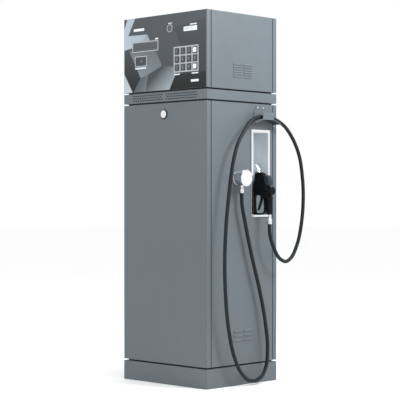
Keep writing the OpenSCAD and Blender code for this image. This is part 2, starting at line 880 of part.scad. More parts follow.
module sight_glass() {
  face = side_x + sight_face;
  well = lens_d - 6;
  color(chrome_metal) difference() {
    union() {
      bar_x(64, [side_x, side_x + 5], sight_y, sight_z);
      bar_x(pipe_d + 8, [side_x, face - sight_rim], sight_y, sight_z);
      bar_x(sight_case_d, [side_x + 12, face - 4], sight_y, sight_z);
      bar_x(sight_d, [face - sight_rim, face], sight_y, sight_z);
    }
    bar_x(well, [face - 22, face + cut], sight_y, sight_z);
    bar_x(lens_d, [face - 6, face + cut], sight_y, sight_z);
    bar_z(swivel_neck_d + 2 * run_gap, side_x + outlet_s, sight_y,
      [sight_z - sight_case_d / 2 - cut, sight_z - sight_case_d / 2 + 14]);
  }
  color(chrome_metal) bar_x(5, [face - 22, face - 8], sight_y, sight_z);
}
module sight_lens() {
  face = side_x + sight_face;
  color([0.8, 0.88, 0.9, 0.5]) bar_x(lens_d - 2 * run_gap, [face - 6, face - 1], sight_y, sight_z);
}
module sight_spinner() {
  face = side_x + sight_face;
  color(black_plastic) difference() {
    union() {
      bar_x(11, [face - 18, face - 10], sight_y, sight_z);
      for (a = [0:120:240]) translate([face - 17, sight_y, sight_z]) rotate([a, 0, 0])
        translate([0, -1, 0]) cube([6, 2, spinner_r]);
    }
    bar_x(5 + 2 * run_gap, [face - 20, face - 8], sight_y, sight_z);
  }
}
module outlet_fitting() {
  x = side_x + outlet_s;
  case_z = sight_z - sight_case_d / 2;
  color(chrome_metal) {
    bar_z(swivel_neck_d, x, sight_y, [hose_top_z + ferrule_len - 3, case_z + 12]);
    bar_z(ferrule_d, x, sight_y, [hose_top_z, hose_top_z + ferrule_len - 6]);
    translate([x, sight_y, hose_top_z + ferrule_len - 6]) cylinder(d1 = ferrule_d, d2 = swivel_neck_d, h = 6);
  }
}

// ---- Hose ----

function mix3(p, q, m, n, d, t) =
  (2 * pow(t, 3) - 3 * pow(t, 2) + 1) * p + (pow(t, 3) - 2 * pow(t, 2) + t) * d * m
  + (3 * pow(t, 2) - 2 * pow(t, 3)) * q + (pow(t, 3) - pow(t, 2)) * d * n;
LAST = len(ROUTE) - 1;
function slope(i) =
  i == 0 ? (ROUTE[1] - ROUTE[0]) / norm(ROUTE[1] - ROUTE[0]) :
  i == LAST ? (ROUTE[LAST] - ROUTE[LAST - 1]) / norm(ROUTE[LAST] - ROUTE[LAST - 1]) :
  let (a = ROUTE[i] - ROUTE[i - 1], b = ROUTE[i + 1] - ROUTE[i], u = norm(a), v = norm(b))
  (a / u * v + b / v * u) / (u + v);
function steps(i) = max(1, round(norm(ROUTE[i + 1] - ROUTE[i]) / ring_step));
LINE = [
  for (i = [0:LAST - 1], k = [0:steps(i) - 1])
    mix3(ROUTE[i], ROUTE[i + 1], slope(i), slope(i + 1), norm(ROUTE[i + 1] - ROUTE[i]), k / steps(i)),
  ROUTE[LAST]
];
function unit(v) = v / norm(v);
function along(i) =
  i == 0 ? unit(LINE[1] - LINE[0]) :
  i == len(LINE) - 1 ? unit(LINE[i] - LINE[i - 1]) : unit(LINE[i + 1] - LINE[i - 1]);

module hose() {
  n = hose_sides;
  last = len(LINE) - 1;
  r = hose_d / 2 / cos(180 / n);
  points = [
    for (i = [0:last])
      let (t = i == 0 ? [0, 0, -1] : i == last ? [0, 0, 1] : along(i))
      let (u = unit(cross(t, [1, 0, 0])), v = cross(t, u))
      for (j = [0:n - 1]) LINE[i] + r * (cos(360 * j / n) * u + sin(360 * j / n) * v)
  ];
  walls = [
    for (i = [0:last - 1], j = [0:n - 1])
      let (a = i * n + j, b = i * n + (j + 1) % n) [a, a + n, b + n, b]
  ];
  ends = [[for (j = [0:n - 1]) j], [for (j = [n - 1:-1:0]) last * n + j]];
  color(rubber_black) translate([side_x, 0, 0]) polyhedron(points, concat(walls, ends));
}

// ---- Nozzle ----

// Places a flat outline, drawn in distance out and height, as a slab of the nozzle
module nozzle_slab(t) {
  translate([side_x, nozzle_y + t / 2, nozzle_z]) rotate([90, 0, 0]) linear_extrude(t) children();
}
// A round bar between two points of the nozzle's own plane
module nozzle_rod(d, p, q) {
  v = q - p;
  translate([side_x + p[0], nozzle_y, nozzle_z + p[1]]) rotate([0, atan2(v[0], v[1]), 0])
    cylinder(d = d, h = norm(v));
}
module nozzle_ball(d, p) {
  translate([side_x + p[0], nozzle_y, nozzle_z + p[1]]) sphere(d = d);
}
module nozzle_pin(d, p, t) {
  bar_y(d, side_x + p[0], [nozzle_y - t / 2, nozzle_y + t / 2], nozzle_z + p[1]);
}

BODY = [
  [-6, 211], [14, 208], [31, 202], [37, 180], [43, 158], [56, 134], [66, 122], [66, 92],
  [30, 88], [8, 98], [-20, 102], [-40, 100], [-50, 122], [-40, 142], [-33.5, 158], [-30, 180],
  [-28, 200], [-22, 207]
];
COVER = [[36, 182], [42, 194], [56, 194], [66, 184], [70, 160], [68, 143], [60, 138], [40, 150]];
guard_s = grip_s - grip_d / 2 - safe_gap - 0.1;
GUARD = [[-44, 112], [-39, 4], [-35, 0], [guard_s, 0], [guard_s, 100], [0, 104]];
FINGERS = [[-29, 90], [-21, 20], [-16, 14], [20, 14], [27, 22], [29, 78], [20, 90], [2, 96], [-22, 98]];

module nozzle_body() {
  cover_t = 30;
  guard_t = 24;
  slot_w = lever_t + 2;
  color(black_plastic) {
    difference() {
      union() {
        nozzle_slab(nozzle_t) polygon(BODY);
        nozzle_slab(cover_t) polygon(COVER);
        nozzle_slab(guard_t) polygon(GUARD);
        nozzle_rod(inlet_d, [grip_s, 1], [grip_s, 96]);
        nozzle_rod(34, [40, 117], [66, 117]);
      }
      nozzle_slab(nozzle_t + cut) polygon(FINGERS);
      nozzle_slab(slot_w) translate([lever_pivot[0] - 9, 80]) square([29, 34]);
      nozzle_rod(swivel_neck_d + 2 * run_gap, [grip_s, 0], [grip_s, swivel_reach + 4]);
      spout_place() cylinder(d = spout_d + 2 * run_gap, h = 20);
      nozzle_rod(grip_d + 2 * safe_gap, [grip_s, -1], [grip_s, 1]);
    }
    nozzle_pin(lever_pin_d, lever_pivot, slot_w + 4);
  }
}
// Stands its children on the spout's root, along the spout's first axis
module spout_place() {
  translate([side_x + spout_root[0], nozzle_y, nozzle_z + spout_root[1]])
    rotate([0, -spout_tilt, 0]) children();
}
// The spout's straight, bent and straight stretches at one diameter, with longer ends
module spout_tube(d, more) {
  spout_place() {
    translate([0, 0, -more]) cylinder(d = d, h = spout_base + more);
    translate([-spout_bend_r, 0, spout_base]) {
      rotate([90, 0, 0]) rotate_extrude(angle = spout_bend) translate([spout_bend_r, 0]) circle(d = d);
      rotate([0, -spout_bend, 0]) translate([spout_bend_r, 0, -cut])
        cylinder(d = d - spout_step, h = spout_reach + cut + more);
    }
  }
}
module spout() {
  color(stainless) difference() {
    union() {
      spout_tube(spout_d, 0);
      spout_place() translate([0, 0, 7]) cylinder(d = collar_d, h = 18);
    }
    spout_tube(spout_d - 2 * spout_wall, cut);
  }
}
module lever() {
  arm = [[6, 101], [13, 88], [12, 74], [-10, 24]];
  color(black_plastic) difference() {
    union() {
      nozzle_slab(lever_t) for (i = [0:2]) hull() {
        translate(arm[i]) circle(d = i == 0 ? 12 : 8, $fn = 32);
        translate(arm[i + 1]) circle(d = 8, $fn = 32);
      }
      nozzle_pin(12, lever_pivot, lever_t);
    }
    nozzle_pin(lever_pin_d + 2 * run_gap, lever_pivot, lever_t + 2);
  }
}
module nozzle_cap() {
  color(grey_plastic) difference() {
    nozzle_rod(knob_d, [66, 117], [84, 117]);
    nozzle_rod(knob_d - 8, [82, 117], [85, 117]);
  }
}
module grip_sleeve() {
  color(grey_plastic) difference() {
    nozzle_rod(grip_d, [grip_s, 1], [grip_s, 87]);
    nozzle_rod(inlet_d + 2 * run_gap, [grip_s, 0], [grip_s, 91]);
  }
}
module hose_swivel() {
  color(chrome_metal) {
    nozzle_rod(swivel_neck_d, [grip_s, ferrule_len - swivel_drop + 1], [grip_s, swivel_reach]);
    nozzle_rod(ferrule_d, [grip_s, -swivel_drop], [grip_s, ferrule_len - swivel_drop]);
    nozzle_rod(ferrule_d - 3, [grip_s, ferrule_len - swivel_drop], [grip_s, ferrule_len - swivel_drop + 2]);
  }
}

base_plinth();
cabinet_frame();
right_side_panel();
left_side_panel();
front_panel();
rear_panel();
vent_band();
head_base_tray();
head_front_tray();
head_rear_tray();
head_cover();
front_lock_body();
front_lock_barrel();
rear_lock_body();
rear_lock_barrel();
fascia_overlay();
display_window();
card_reader();
tag_reader();
totalizer();
keypad_bezel();
key_cap(0);  // key_1
key_cap(1);  // key_2
key_cap(2);  // key_3
key_cap(3);  // key_clear
key_cap(4);  // key_4
key_cap(5);  // key_5
key_cap(6);  // key_6
key_cap(7);  // key_0
key_cap(8);  // key_7
key_cap(9);  // key_8
key_cap(10);  // key_9
key_cap(11);  // key_enter
controller_board();
power_supply();
pump_unit();
motor();
motor_pulley();
pump_pulley();
drive_belt();
flow_meter();
solenoid_valve();
suction_pipe();
delivery_pipe();
junction_box();
hose_hook();
fixing_screws();
nozzle_pocket();
nozzle_sensor();
sight_glass();
sight_lens();
sight_spinner();
outlet_fitting();
hose();
nozzle_body();
spout();
lever();
nozzle_cap();
grip_sleeve();
hose_swivel();
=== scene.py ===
from math import cos, pi, radians, sin, tau

import bmesh
import bpy
from mathutils import Matrix, Vector


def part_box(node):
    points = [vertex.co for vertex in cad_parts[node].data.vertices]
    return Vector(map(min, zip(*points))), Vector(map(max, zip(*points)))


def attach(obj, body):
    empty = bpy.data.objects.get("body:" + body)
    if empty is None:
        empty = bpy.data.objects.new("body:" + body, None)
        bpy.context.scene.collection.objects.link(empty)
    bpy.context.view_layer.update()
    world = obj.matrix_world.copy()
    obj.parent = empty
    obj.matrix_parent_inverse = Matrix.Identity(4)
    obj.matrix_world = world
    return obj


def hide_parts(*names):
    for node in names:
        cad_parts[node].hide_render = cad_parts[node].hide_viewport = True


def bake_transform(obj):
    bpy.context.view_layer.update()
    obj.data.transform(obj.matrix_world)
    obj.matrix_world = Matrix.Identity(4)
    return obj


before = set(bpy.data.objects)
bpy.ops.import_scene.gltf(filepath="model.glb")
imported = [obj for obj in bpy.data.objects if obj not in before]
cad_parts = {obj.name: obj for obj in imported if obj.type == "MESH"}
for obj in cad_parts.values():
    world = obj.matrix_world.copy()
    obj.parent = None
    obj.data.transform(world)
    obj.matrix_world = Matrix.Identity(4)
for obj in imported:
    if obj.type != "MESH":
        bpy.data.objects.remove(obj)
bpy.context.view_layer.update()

# Places that many pieces share, in metres, from the frame
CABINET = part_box("base_plinth")
SIDE_X = CABINET[1].x
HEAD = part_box("head_front_tray")
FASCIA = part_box("fascia_overlay")
PRINT_Y = FASCIA[0].y
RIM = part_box("nozzle_pocket")
NOZZLE_Y = (RIM[0].y + RIM[1].y) / 2
NOZZLE_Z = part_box("grip_sleeve")[0].z - 0.001
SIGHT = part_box("sight_glass")
SIGHT_R = 0.0405
SIGHT_AXIS = ((SIGHT[0].y + SIGHT[1].y) / 2, SIGHT[1].z - SIGHT_R)
MM = 0.001
UP = (0, 0, 1)
OUT = (1, 0, 0)      # away from the right-hand side


# ---- Camera ----

def make_camera():
    data = bpy.data.cameras.new("camera")
    data.lens = 122.2
    data.sensor_width = 36.0
    data.clip_end = 100.0
    camera = bpy.data.objects.new("camera", data)
    camera.location = (4.7598, -4.8468, 0.8966)
    camera.rotation_euler = (radians(90), 0, radians(44.48))
    bpy.context.scene.collection.objects.link(camera)
    bpy.context.scene.camera = camera


make_camera()


# ---- Materials ----

def tone(red, green, blue):
    """Scene colour of a display colour from 0 to 255."""
    parts = [c / 255 for c in (red, green, blue)]
    return tuple(c / 12.92 if c < 0.04045 else ((c + 0.055) / 1.055) ** 2.4 for c in parts) + (1.0,)


class Finish:
    """A material built from a principled shader and a few procedural layers in object space."""

    def __init__(self, name, colour, rough, metal=0.0, specular=0.5, coat=0.0):
        self.material = bpy.data.materials.new(name)
        self.material.use_nodes = True
        self.tree = self.material.node_tree
        self.shader = self.tree.nodes["Principled BSDF"]
        self.colour = colour
        self.put("Base Color", colour)
        self.put("Roughness", rough)
        self.put("Metallic", metal)
        self.put("Specular IOR Level", specular)
        if coat:
            self.put("Coat Weight", coat)
            self.put("Coat Roughness", 0.06)
        self.place = self.tree.nodes.new("ShaderNodeTexCoord").outputs["Object"]
        self.height = None

    def put(self, socket, value):
        self.shader.inputs[socket].default_value = value

    def join(self, source, target):
        self.tree.links.new(source, target)

    def noise(self, scale, detail=3.0, stretch=(1, 1, 1)):
        mapping = self.tree.nodes.new("ShaderNodeMapping")
        mapping.inputs["Scale"].default_value = stretch
        self.join(self.place, mapping.inputs["Vector"])
        node = self.tree.nodes.new("ShaderNodeTexNoise")
        node.inputs["Scale"].default_value = scale
        node.inputs["Detail"].default_value = detail
        self.join(mapping.outputs["Vector"], node.inputs["Vector"])
        return node.outputs["Fac"]

    def spread(self, source, low, high, start=0.3, end=0.7):
        node = self.tree.nodes.new("ShaderNodeMapRange")
        for socket, value in (("From Min", start), ("From Max", end), ("To Min", low), ("To Max", high)):
            node.inputs[socket].default_value = value
        self.join(source, node.inputs["Value"])
        return node.outputs["Result"]

    def blend_colours(self, factor, first, second):
        node = self.tree.nodes.new("ShaderNodeMix")
        node.data_type = "RGBA"
        colours = {"A": first, "B": second}
        for socket in node.inputs:
            if socket.type == "RGBA":
                socket.default_value = colours[socket.name]
        self.join(factor, node.inputs["Factor"])
        result = next(s for s in node.outputs if s.type == "RGBA")
        self.join(result, self.shader.inputs["Base Color"])

    def mottle(self, scale, amount, stretch=(1, 1, 1)):
        """Colour that drifts a little lighter and darker, as paint and moulded plastic do."""
        light = tuple(min(1.0, c * (1 + amount)) for c in self.colour[:3]) + (1.0,)
        dark = tuple(c * (1 - amount) for c in self.colour[:3]) + (1.0,)
        self.blend_colours(self.spread(self.noise(scale, 4.0, stretch), 0.0, 1.0), dark, light)
        return self

    def gloss(self, scale, low, high, stretch=(1, 1, 1)):
        """Roughness that changes over the surface between two values."""
        value = self.spread(self.noise(scale, 5.0, stretch), low, high)
        self.join(value, self.shader.inputs["Roughness"])
        return self

    def bump(self, scale, depth, stretch=(1, 1, 1), detail=2.0):
        node = self.tree.nodes.new("ShaderNodeBump")
        node.inputs["Strength"].default_value = 1.0
        node.inputs["Distance"].default_value = depth
        self.join(self.noise(scale, detail, stretch), node.inputs["Height"])
        if self.height is not None:
            self.join(self.height, node.inputs["Normal"])
        self.height = node.outputs["Normal"]
        self.join(self.height, self.shader.inputs["Normal"])
        return self

    def fade(self, way, low, high, first, second):
        """Colour that runs from one tone to another along a direction, as a printed gradient does."""
        along = self.tree.nodes.new("ShaderNodeVectorMath")
        along.operation = "DOT_PRODUCT"
        along.inputs[1].default_value = way
        self.join(self.place, along.inputs[0])
        self.blend_colours(self.spread(along.outputs["Value"], 0.0, 1.0, low, high), first, second)
        return self


STEEL = tone(88, 96, 102)
POWDER = Finish("powder_coat", STEEL, 0.42, specular=0.35).mottle(2.2, 0.03).gloss(14, 0.36, 0.5)
POWDER.bump(1400, 0.00006).bump(240, 0.00008)
FRAME_PAINT = Finish("frame_paint", tone(40, 44, 49), 0.5, specular=0.3)
FRAME_PAINT.mottle(9, 0.12).bump(700, 0.00006)
LOCK_BLACK = Finish("lock_black", tone(34, 37, 40), 0.36, specular=0.4)
LOCK_BLACK.mottle(60, 0.1).bump(2200, 0.00003)
CHROME = Finish("chrome", tone(232, 235, 238), 0.08, metal=1.0)
CHROME.gloss(70, 0.05, 0.14).bump(500, 0.000008)
STAINLESS = Finish("stainless", tone(186, 192, 197), 0.3, metal=1.0)
STAINLESS.gloss(30, 0.22, 0.36, (1, 40, 1)).bump(60, 0.00002, (1, 60, 0.5)).mottle(3, 0.06)
POLISHED = Finish("polished_rim", tone(240, 242, 244), 0.16, metal=1.0)
POLISHED.gloss(40, 0.1, 0.2).bump(80, 0.00001, (1, 1, 30))
WINDOW = Finish("window_plastic", tone(62, 68, 73), 0.12, specular=0.5, coat=0.6)
WINDOW.mottle(30, 0.08).gloss(60, 0.08, 0.16)
READER_PANE = Finish("reader_pane", tone(46, 51, 55), 0.14, specular=0.4, coat=0.3).mottle(30, 0.08)
TRIM = Finish("window_trim", tone(164, 172, 178), 0.34, specular=0.4)
TRIM.mottle(80, 0.04).bump(1600, 0.00003)
LABEL = Finish("label_print", tone(214, 220, 224), 0.4, specular=0.3).mottle(120, 0.03)
DIAL_WHITE = Finish("totalizer_white", tone(226, 236, 242), 0.25, specular=0.5, coat=0.4)
DIAL_WHITE.mottle(70, 0.02)
DIGIT_DARK = Finish("digit_dark", tone(70, 74, 80), 0.5, specular=0.3).mottle(150, 0.05)
BEZEL_GREY = Finish("bezel_grey", tone(156, 164, 170), 0.4, specular=0.4)
BEZEL_GREY.mottle(50, 0.04).bump(1500, 0.00004)
KEY_BLACK = Finish("key_black", tone(52, 57, 61), 0.36, specular=0.4)
KEY_BLACK.mottle(90, 0.08).bump(2600, 0.00004)
KEY_WHITE = Finish("key_white", tone(236, 240, 242), 0.34, specular=0.4)
KEY_WHITE.mottle(90, 0.02).bump(2600, 0.00004)
KEY_PRINT = Finish("key_print", tone(128, 135, 140), 0.4, specular=0.3).mottle(150, 0.03)
BOARD = Finish("board_green", tone(28, 88, 58), 0.35, specular=0.4, coat=0.3)
BOARD.mottle(160, 0.2, (1, 1, 6)).bump(500, 0.00005)
CASTING = Finish("casting_paint", tone(84, 92, 102), 0.55, specular=0.3)
CASTING.mottle(18, 0.12).bump(320, 0.0002).bump(60, 0.0002)
BRASS = Finish("valve_brass", tone(182, 152, 88), 0.28, metal=1.0)
BRASS.mottle(40, 0.1).gloss(60, 0.2, 0.4).bump(400, 0.00004)
BELT = Finish("belt_rubber", tone(30, 32, 34), 0.7, specular=0.25).mottle(60, 0.15).bump(900, 0.0001)
RUBBER = Finish("hose_rubber", tone(22, 30, 35), 0.5, specular=0.2)
RUBBER.mottle(35, 0.1).gloss(25, 0.42, 0.6).bump(1300, 0.0001)
BLACK = Finish("nozzle_black", tone(9, 10, 11), 0.4, specular=0.1)
BLACK.mottle(70, 0.15).gloss(90, 0.34, 0.5).bump(1500, 0.00006)
GREY = Finish("nozzle_grey", tone(19, 22, 25), 0.5, specular=0.08).mottle(60, 0.08).bump(1800, 0.00008)
COVER_GREY = Finish("nozzle_cover_grey", tone(44, 51, 57), 0.45, specular=0.15)
COVER_GREY.mottle(60, 0.06).bump(1800, 0.00006)
ENAMEL = Finish("enamel_white", tone(238, 240, 240), 0.3, specular=0.5).mottle(40, 0.03)
POCKET_STEEL = Finish("pocket_steel", tone(212, 219, 224), 0.4, metal=0.25, specular=0.5)
POCKET_STEEL.gloss(14, 0.3, 0.46, (1, 12, 1)).mottle(9, 0.2, (1, 3, 0.3)).bump(90, 0.000006, (1, 30, 0.4))
GLASS = Finish("lens_glass", (0.96, 0.98, 0.99, 1.0), 0.04, specular=0.5).gloss(50, 0.03, 0.06)
GLASS.put("Transmission Weight", 0.3)
GLASS.put("IOR", 1.49)

# Printed tones of the fascia: name, way of the gradient, where it starts and ends, and its two tones
FOOT = HEAD[0].z
PRINT_TONES = (
    ("print_slate", (0, 0, 1), FOOT + 0.02, HEAD[1].z, (62, 68, 73), (70, 76, 81)),
    ("print_pale", (1, 0, 0), -0.29, -0.09, (163, 177, 187), (150, 161, 169)),
    ("print_mid", (0.45, 0, 0.9), FOOT * 0.9 - 0.05, FOOT * 0.9 + 0.16, (118, 128, 135), (90, 97, 103)),
    ("print_sweep", (0.6, 0, -0.8), -0.8 * FOOT - 0.1, -0.8 * FOOT + 0.02, (58, 64, 69), (142, 154, 161)),
    ("print_shade", (0, 0, 1), FOOT, FOOT + 0.2, (15, 17, 19), (60, 66, 69)),
    ("print_white", (0, 0, 1), FOOT, FOOT + 0.1, (172, 181, 187), (160, 169, 175)),
    ("print_black", (0, 0, 1), FOOT, FOOT + 0.08, (8, 9, 10), (26, 29, 32)),
    ("print_veil", (0, 0, 1), FOOT + 0.08, HEAD[1].z, (48, 53, 57), (64, 70, 75)),
    ("print_fold", (1, 0, 0.5), 0.5 * FOOT - 0.07, 0.5 * FOOT + 0.05, (160, 173, 182), (126, 137, 144)),
    ("print_crease", (0.8, 0, -0.6), -0.6 * FOOT - 0.2, -0.6 * FOOT - 0.06, (60, 66, 71), (112, 122, 129)),
)
PRINTS = [
    Finish(name, tone(*first), 0.3, specular=0.2).fade(way, low, high, tone(*first), tone(*second))
    for name, way, low, high, first, second in PRINT_TONES
]


# ---- Making pieces ----

def new_piece(name, bm, finishes, body, slot=None, replaced=(), smooth=35):
    """A named object from a bmesh, with its materials, riding on its body."""
    mesh = bpy.data.meshes.new(name)
    bmesh.ops.recalc_face_normals(bm, faces=bm.faces)
    bm.to_mesh(mesh)
    bm.free()
    return finish_piece(bpy.data.objects.new(name, mesh), finishes, body, slot, replaced, smooth)


def finish_piece(piece, finishes, body, slot=None, replaced=(), smooth=35):
    if piece.name not in bpy.context.scene.collection.objects:
        bpy.context.scene.collection.objects.link(piece)
    mesh = piece.data
    for finish in finishes:
        mesh.materials.append(finish.material)
    mesh.polygons.foreach_set("use_smooth", [True] * len(mesh.polygons))
    mesh.set_sharp_from_angle(angle=radians(smooth))
    if body:
        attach(piece, body)
    if replaced:
        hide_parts(*replaced)
    return piece


def soften(piece, width, segments=2, angle=32):
    """Rounds the edges with a bevel that stays narrower than the sheet."""
    bevel = piece.modifiers.new("edges", "BEVEL")
    bevel.width = width
    bevel.segments = segments
    bevel.limit_method = "ANGLE"
    bevel.angle_limit = radians(angle)
    bevel.use_clamp_overlap = True
    bevel.harden_normals = True
    return piece


def cad_mesh(node, flat=0.4):
    """The CAD node's shape as a clean bmesh, its flat faces joined up."""
    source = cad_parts[node].data
    bm = bmesh.new()
    spots = [bm.verts.new(v.co) for v in source.vertices]
    for polygon in source.polygons:
        try:
            bm.faces.new([spots[i] for i in polygon.vertices])
        except ValueError:
            continue
    bmesh.ops.remove_doubles(bm, verts=bm.verts, dist=0.000004)
    if flat:
        bmesh.ops.dissolve_limit(bm, angle_limit=radians(flat), verts=bm.verts, edges=bm.edges)
    return bm


def from_cad(node, name, finishes, body, slot, edge=0.0007, pick=None, segments=2, smooth=35):
    """A piece in the CAD node's shape with softened edges; pick gives each face's material."""
    bm = cad_mesh(node)
    if pick:
        for face in bm.faces:
            face.material_index = pick(face)
    piece = new_piece(name, bm, finishes, body, slot, (node,), smooth)
    if edge:
        soften(piece, edge, segments)
    return piece


def spin_profile(bm, profile, centre, axis, around, sides=64, flutes=0, flute=0.0, index=0):
    """Adds a turned shape: profile is a list of (radius, height along the axis)."""
    axis, around = Vector(axis).normalized(), Vector(around).normalized()
    across = axis.cross(around)
    rings = []
    for radius, height in profile:
        ring = []
        for i in range(sides):
            turn = tau * i / sides
            reach = radius - (flute * (0.5 + 0.5 * cos(flutes * turn)) if flutes else 0.0)
            spot = Vector(centre) + axis * height + (around * cos(turn) + across * sin(turn)) * reach
            ring.append(bm.verts.new(spot))
        rings.append(ring)
    faces = []
    for low, high in zip(rings, rings[1:]):
        for i in range(sides):
            j = (i + 1) % sides
            faces.append(bm.faces.new((low[i], low[j], high[j], high[i])))
    faces.append(bm.faces.new(rings[0][::-1]))
    faces.append(bm.faces.new(rings[-1]))
    for face in faces:
        face.material_index = index
    return faces


def turned(name, profile, centre, axis, around, finishes, body, slot, replaced=(), **more):
    bm = bmesh.new()
    spin_profile(bm, profile, centre, axis, around, **more)
    return new_piece(name, bm, finishes, body, slot, replaced, 40)


def corner_cut(points, times=2):
    """Rounds a closed outline by cutting its corners."""
    for _ in range(times):
        cut = []
        for a, b in zip(points, points[1:] + points[:1]):
            cut.append((a[0] * 0.75 + b[0] * 0.25, a[1] * 0.75 + b[1] * 0.25))
            cut.append((a[0] * 0.25 + b[0] * 0.75, a[1] * 0.25 + b[1] * 0.75))
        points = cut
    return points


def shrink(points, amount):
    """Moves a closed counter-clockwise outline inwards by an amount."""
    moved = []
    count = len(points)
    for i, point in enumerate(points):
        before, after = Vector(points[i - 1]), Vector(points[(i + 1) % count])
        along = (after - before).normalized()
        moved.append((point[0] - along.y * amount, point[1] + along.x * amount))
    return moved


def rounded_slab(bm, points, half, radius, place, steps=4):
    """Adds a slab with rounded edges: an outline, half its thickness, and place(u, v, w)."""
    area = sum(a[0] * b[1] - b[0] * a[1] for a, b in zip(points, points[1:] + points[:1]))
    if area < 0:
        points = points[::-1]
    turns = [pi / 2 * i / steps for i in range(steps + 1)]
    levels = [(radius * (1 - cos(t)), half - radius + radius * sin(t)) for t in turns]
    stack = [(inset, -w) for inset, w in reversed(levels)] + levels
    rings = [[bm.verts.new(place(u, v, w)) for u, v in shrink(points, inset)] for inset, w in stack]
    count = len(points)
    for low, high in zip(rings, rings[1:]):
        for i in range(count):
            j = (i + 1) % count
            bm.faces.new((low[i], low[j], high[j], high[i]))
    bm.faces.new(rings[0][::-1])
    bm.faces.new(rings[-1])


def block(bm, low, high, index=0):
    """Adds a box between two corners, for a piece that is bevelled later."""
    made = bmesh.ops.create_cube(bm, size=1.0)["verts"]
    low, high = Vector(low), Vector(high)
    for vert in made:
        vert.co = Vector((low[k] + (vert.co[k] + 0.5) * (high[k] - low[k]) for k in range(3)))
    for face in {f for v in made for f in v.link_faces}:
        face.material_index = index


def lettering(bm, text, size, centre, depth, index):
    """Adds generic digits, facing -Y, from Blender's own font."""
    curve = bpy.data.curves.new("digits", "FONT")
    curve.body = text
    curve.size = size
    curve.extrude = depth / 2
    curve.align_x = "CENTER"
    curve.align_y = "CENTER"
    curve.resolution_u = 3
    shape = bpy.data.objects.new("digits", curve)
    mesh = bpy.data.meshes.new_from_object(shape)
    turn = Matrix.Translation(centre) @ Matrix.Rotation(pi / 2, 4, "X")
    mesh.transform(turn)
    start = len(bm.faces)
    bm.from_mesh(mesh)
    bm.faces.ensure_lookup_table()
    for face in bm.faces[start:]:
        face.material_index = index
    bpy.data.objects.remove(shape)
    bpy.data.curves.remove(curve)
    bpy.data.meshes.remove(mesh)


# ---- Hose ----

# Points that the hose follows: distance out from the right-hand face, then y and z
ROUTE = [
    (0.030, -0.039, 0.930), (0.030, -0.038, 0.890), (0.030, -0.012, 0.780), (0.030, 0.035, 0.620),
    (0.031, 0.088, 0.460), (0.034, 0.127, 0.300), (0.038, 0.140, 0.160), (0.040, 0.127, 0.084),
    (0.042, 0.092, 0.036), (0.044, 0.045, 0.020), (0.045, -0.005, 0.026), (0.048, -0.062, 0.068),
    (0.051, -0.112, 0.145), (0.054, -0.151, 0.260), (0.057, -0.178, 0.420), (0.058, -0.187, 0.580),
    (0.058, -0.180, 0.750), (0.058, -0.155, 0.940), (0.056, -0.121, 1.095), (0.052, -0.090, 1.165),
    (0.046, -0.050, 1.214), (0.040, -0.004, 1.259), (0.035, 0.042, 1.2905), (0.033, 0.085, 1.302),
    (0.033, 0.127, 1.306), (0.034, 0.169, 1.302), (0.037, 0.212, 1.289), (0.043, 0.258, 1.264),
    (0.052, 0.304, 1.212), (0.062, 0.345, 1.130), (0.068, 0.368, 1.010), (0.070, 0.372, 0.900),
    (0.070, 0.362, 0.800), (0.068, 0.322, 0.665), (0.067, 0.285, 0.612), (0.066, 0.243, 0.592),
    (0.065, 0.203, 0.606), (0.063, 0.153, 0.670), (0.062, 0.128, 0.738), (0.062, 0.127, 0.779),
]
HOSE_D = 0.018
HOSE_STEP = 0.012
HOSE_SIDES = 24
CROWN = 24          # the point that lies on the hook
FERRULE_D = 26      # millimetres
NECK_D = 17


def hose_line():
    """The hose's smooth centreline, and how many of its points lie before the hook."""
    points = [Vector((SIDE_X + out, y, z)) for out, y, z in ROUTE]
    slopes = [(points[1] - points[0]).normalized()]
    for before, here, after in zip(points, points[1:], points[2:]):
        a, b = here - before, after - here
        slopes.append((a / a.length * b.length + b / b.length * a.length) / (a.length + b.length))
    slopes.append((points[-1] - points[-2]).normalized())
    line = []
    crown = 0
    for i, (p, q) in enumerate(zip(points, points[1:])):
        reach = (q - p).length
        count = max(2, round(reach / HOSE_STEP))
        if i == CROWN:
            crown = len(line)
        for k in range(count):
            t = k / count
            line.append(
                (2 * t**3 - 3 * t**2 + 1) * p + (t**3 - 2 * t**2 + t) * reach * slopes[i]
                + (3 * t**2 - 2 * t**3) * q + (t**3 - t**2) * reach * slopes[i + 1]
            )
    line.append(points[-1])
    return line, crown


def tube(bm, line, radius, sides, first=None, last=None):
    """Adds a tube along a line without twist; first and last set the ways of its ends."""
    count = len(line)
    ways = [(line[min(i + 1, count - 1)] - line[max(i - 1, 0)]).normalized() for i in range(count)]
    ways[0] = Vector(first) if first else ways[0]
    ways[-1] = Vector(last) if last else ways[-1]
    side = ways[0].orthogonal().normalized()
    rings = []
    for i, (spot, way) in enumerate(zip(line, ways)):
        side = (side - way * side.dot(way)).normalized()
        other = way.cross(side)
        size = radius(i) if callable(radius) else radius
        rings.append([
            bm.verts.new(spot + size * (side * cos(tau * k / sides) + other * sin(tau * k / sides)))
            for k in range(sides)
        ])
    for low, high in zip(rings, rings[1:]):
        for k in range(sides):
            m = (k + 1) % sides
            bm.faces.new((low[k], low[m], high[m], high[k]))
    bm.faces.new(rings[0][::-1])
    bm.faces.new(rings[-1])
    return rings


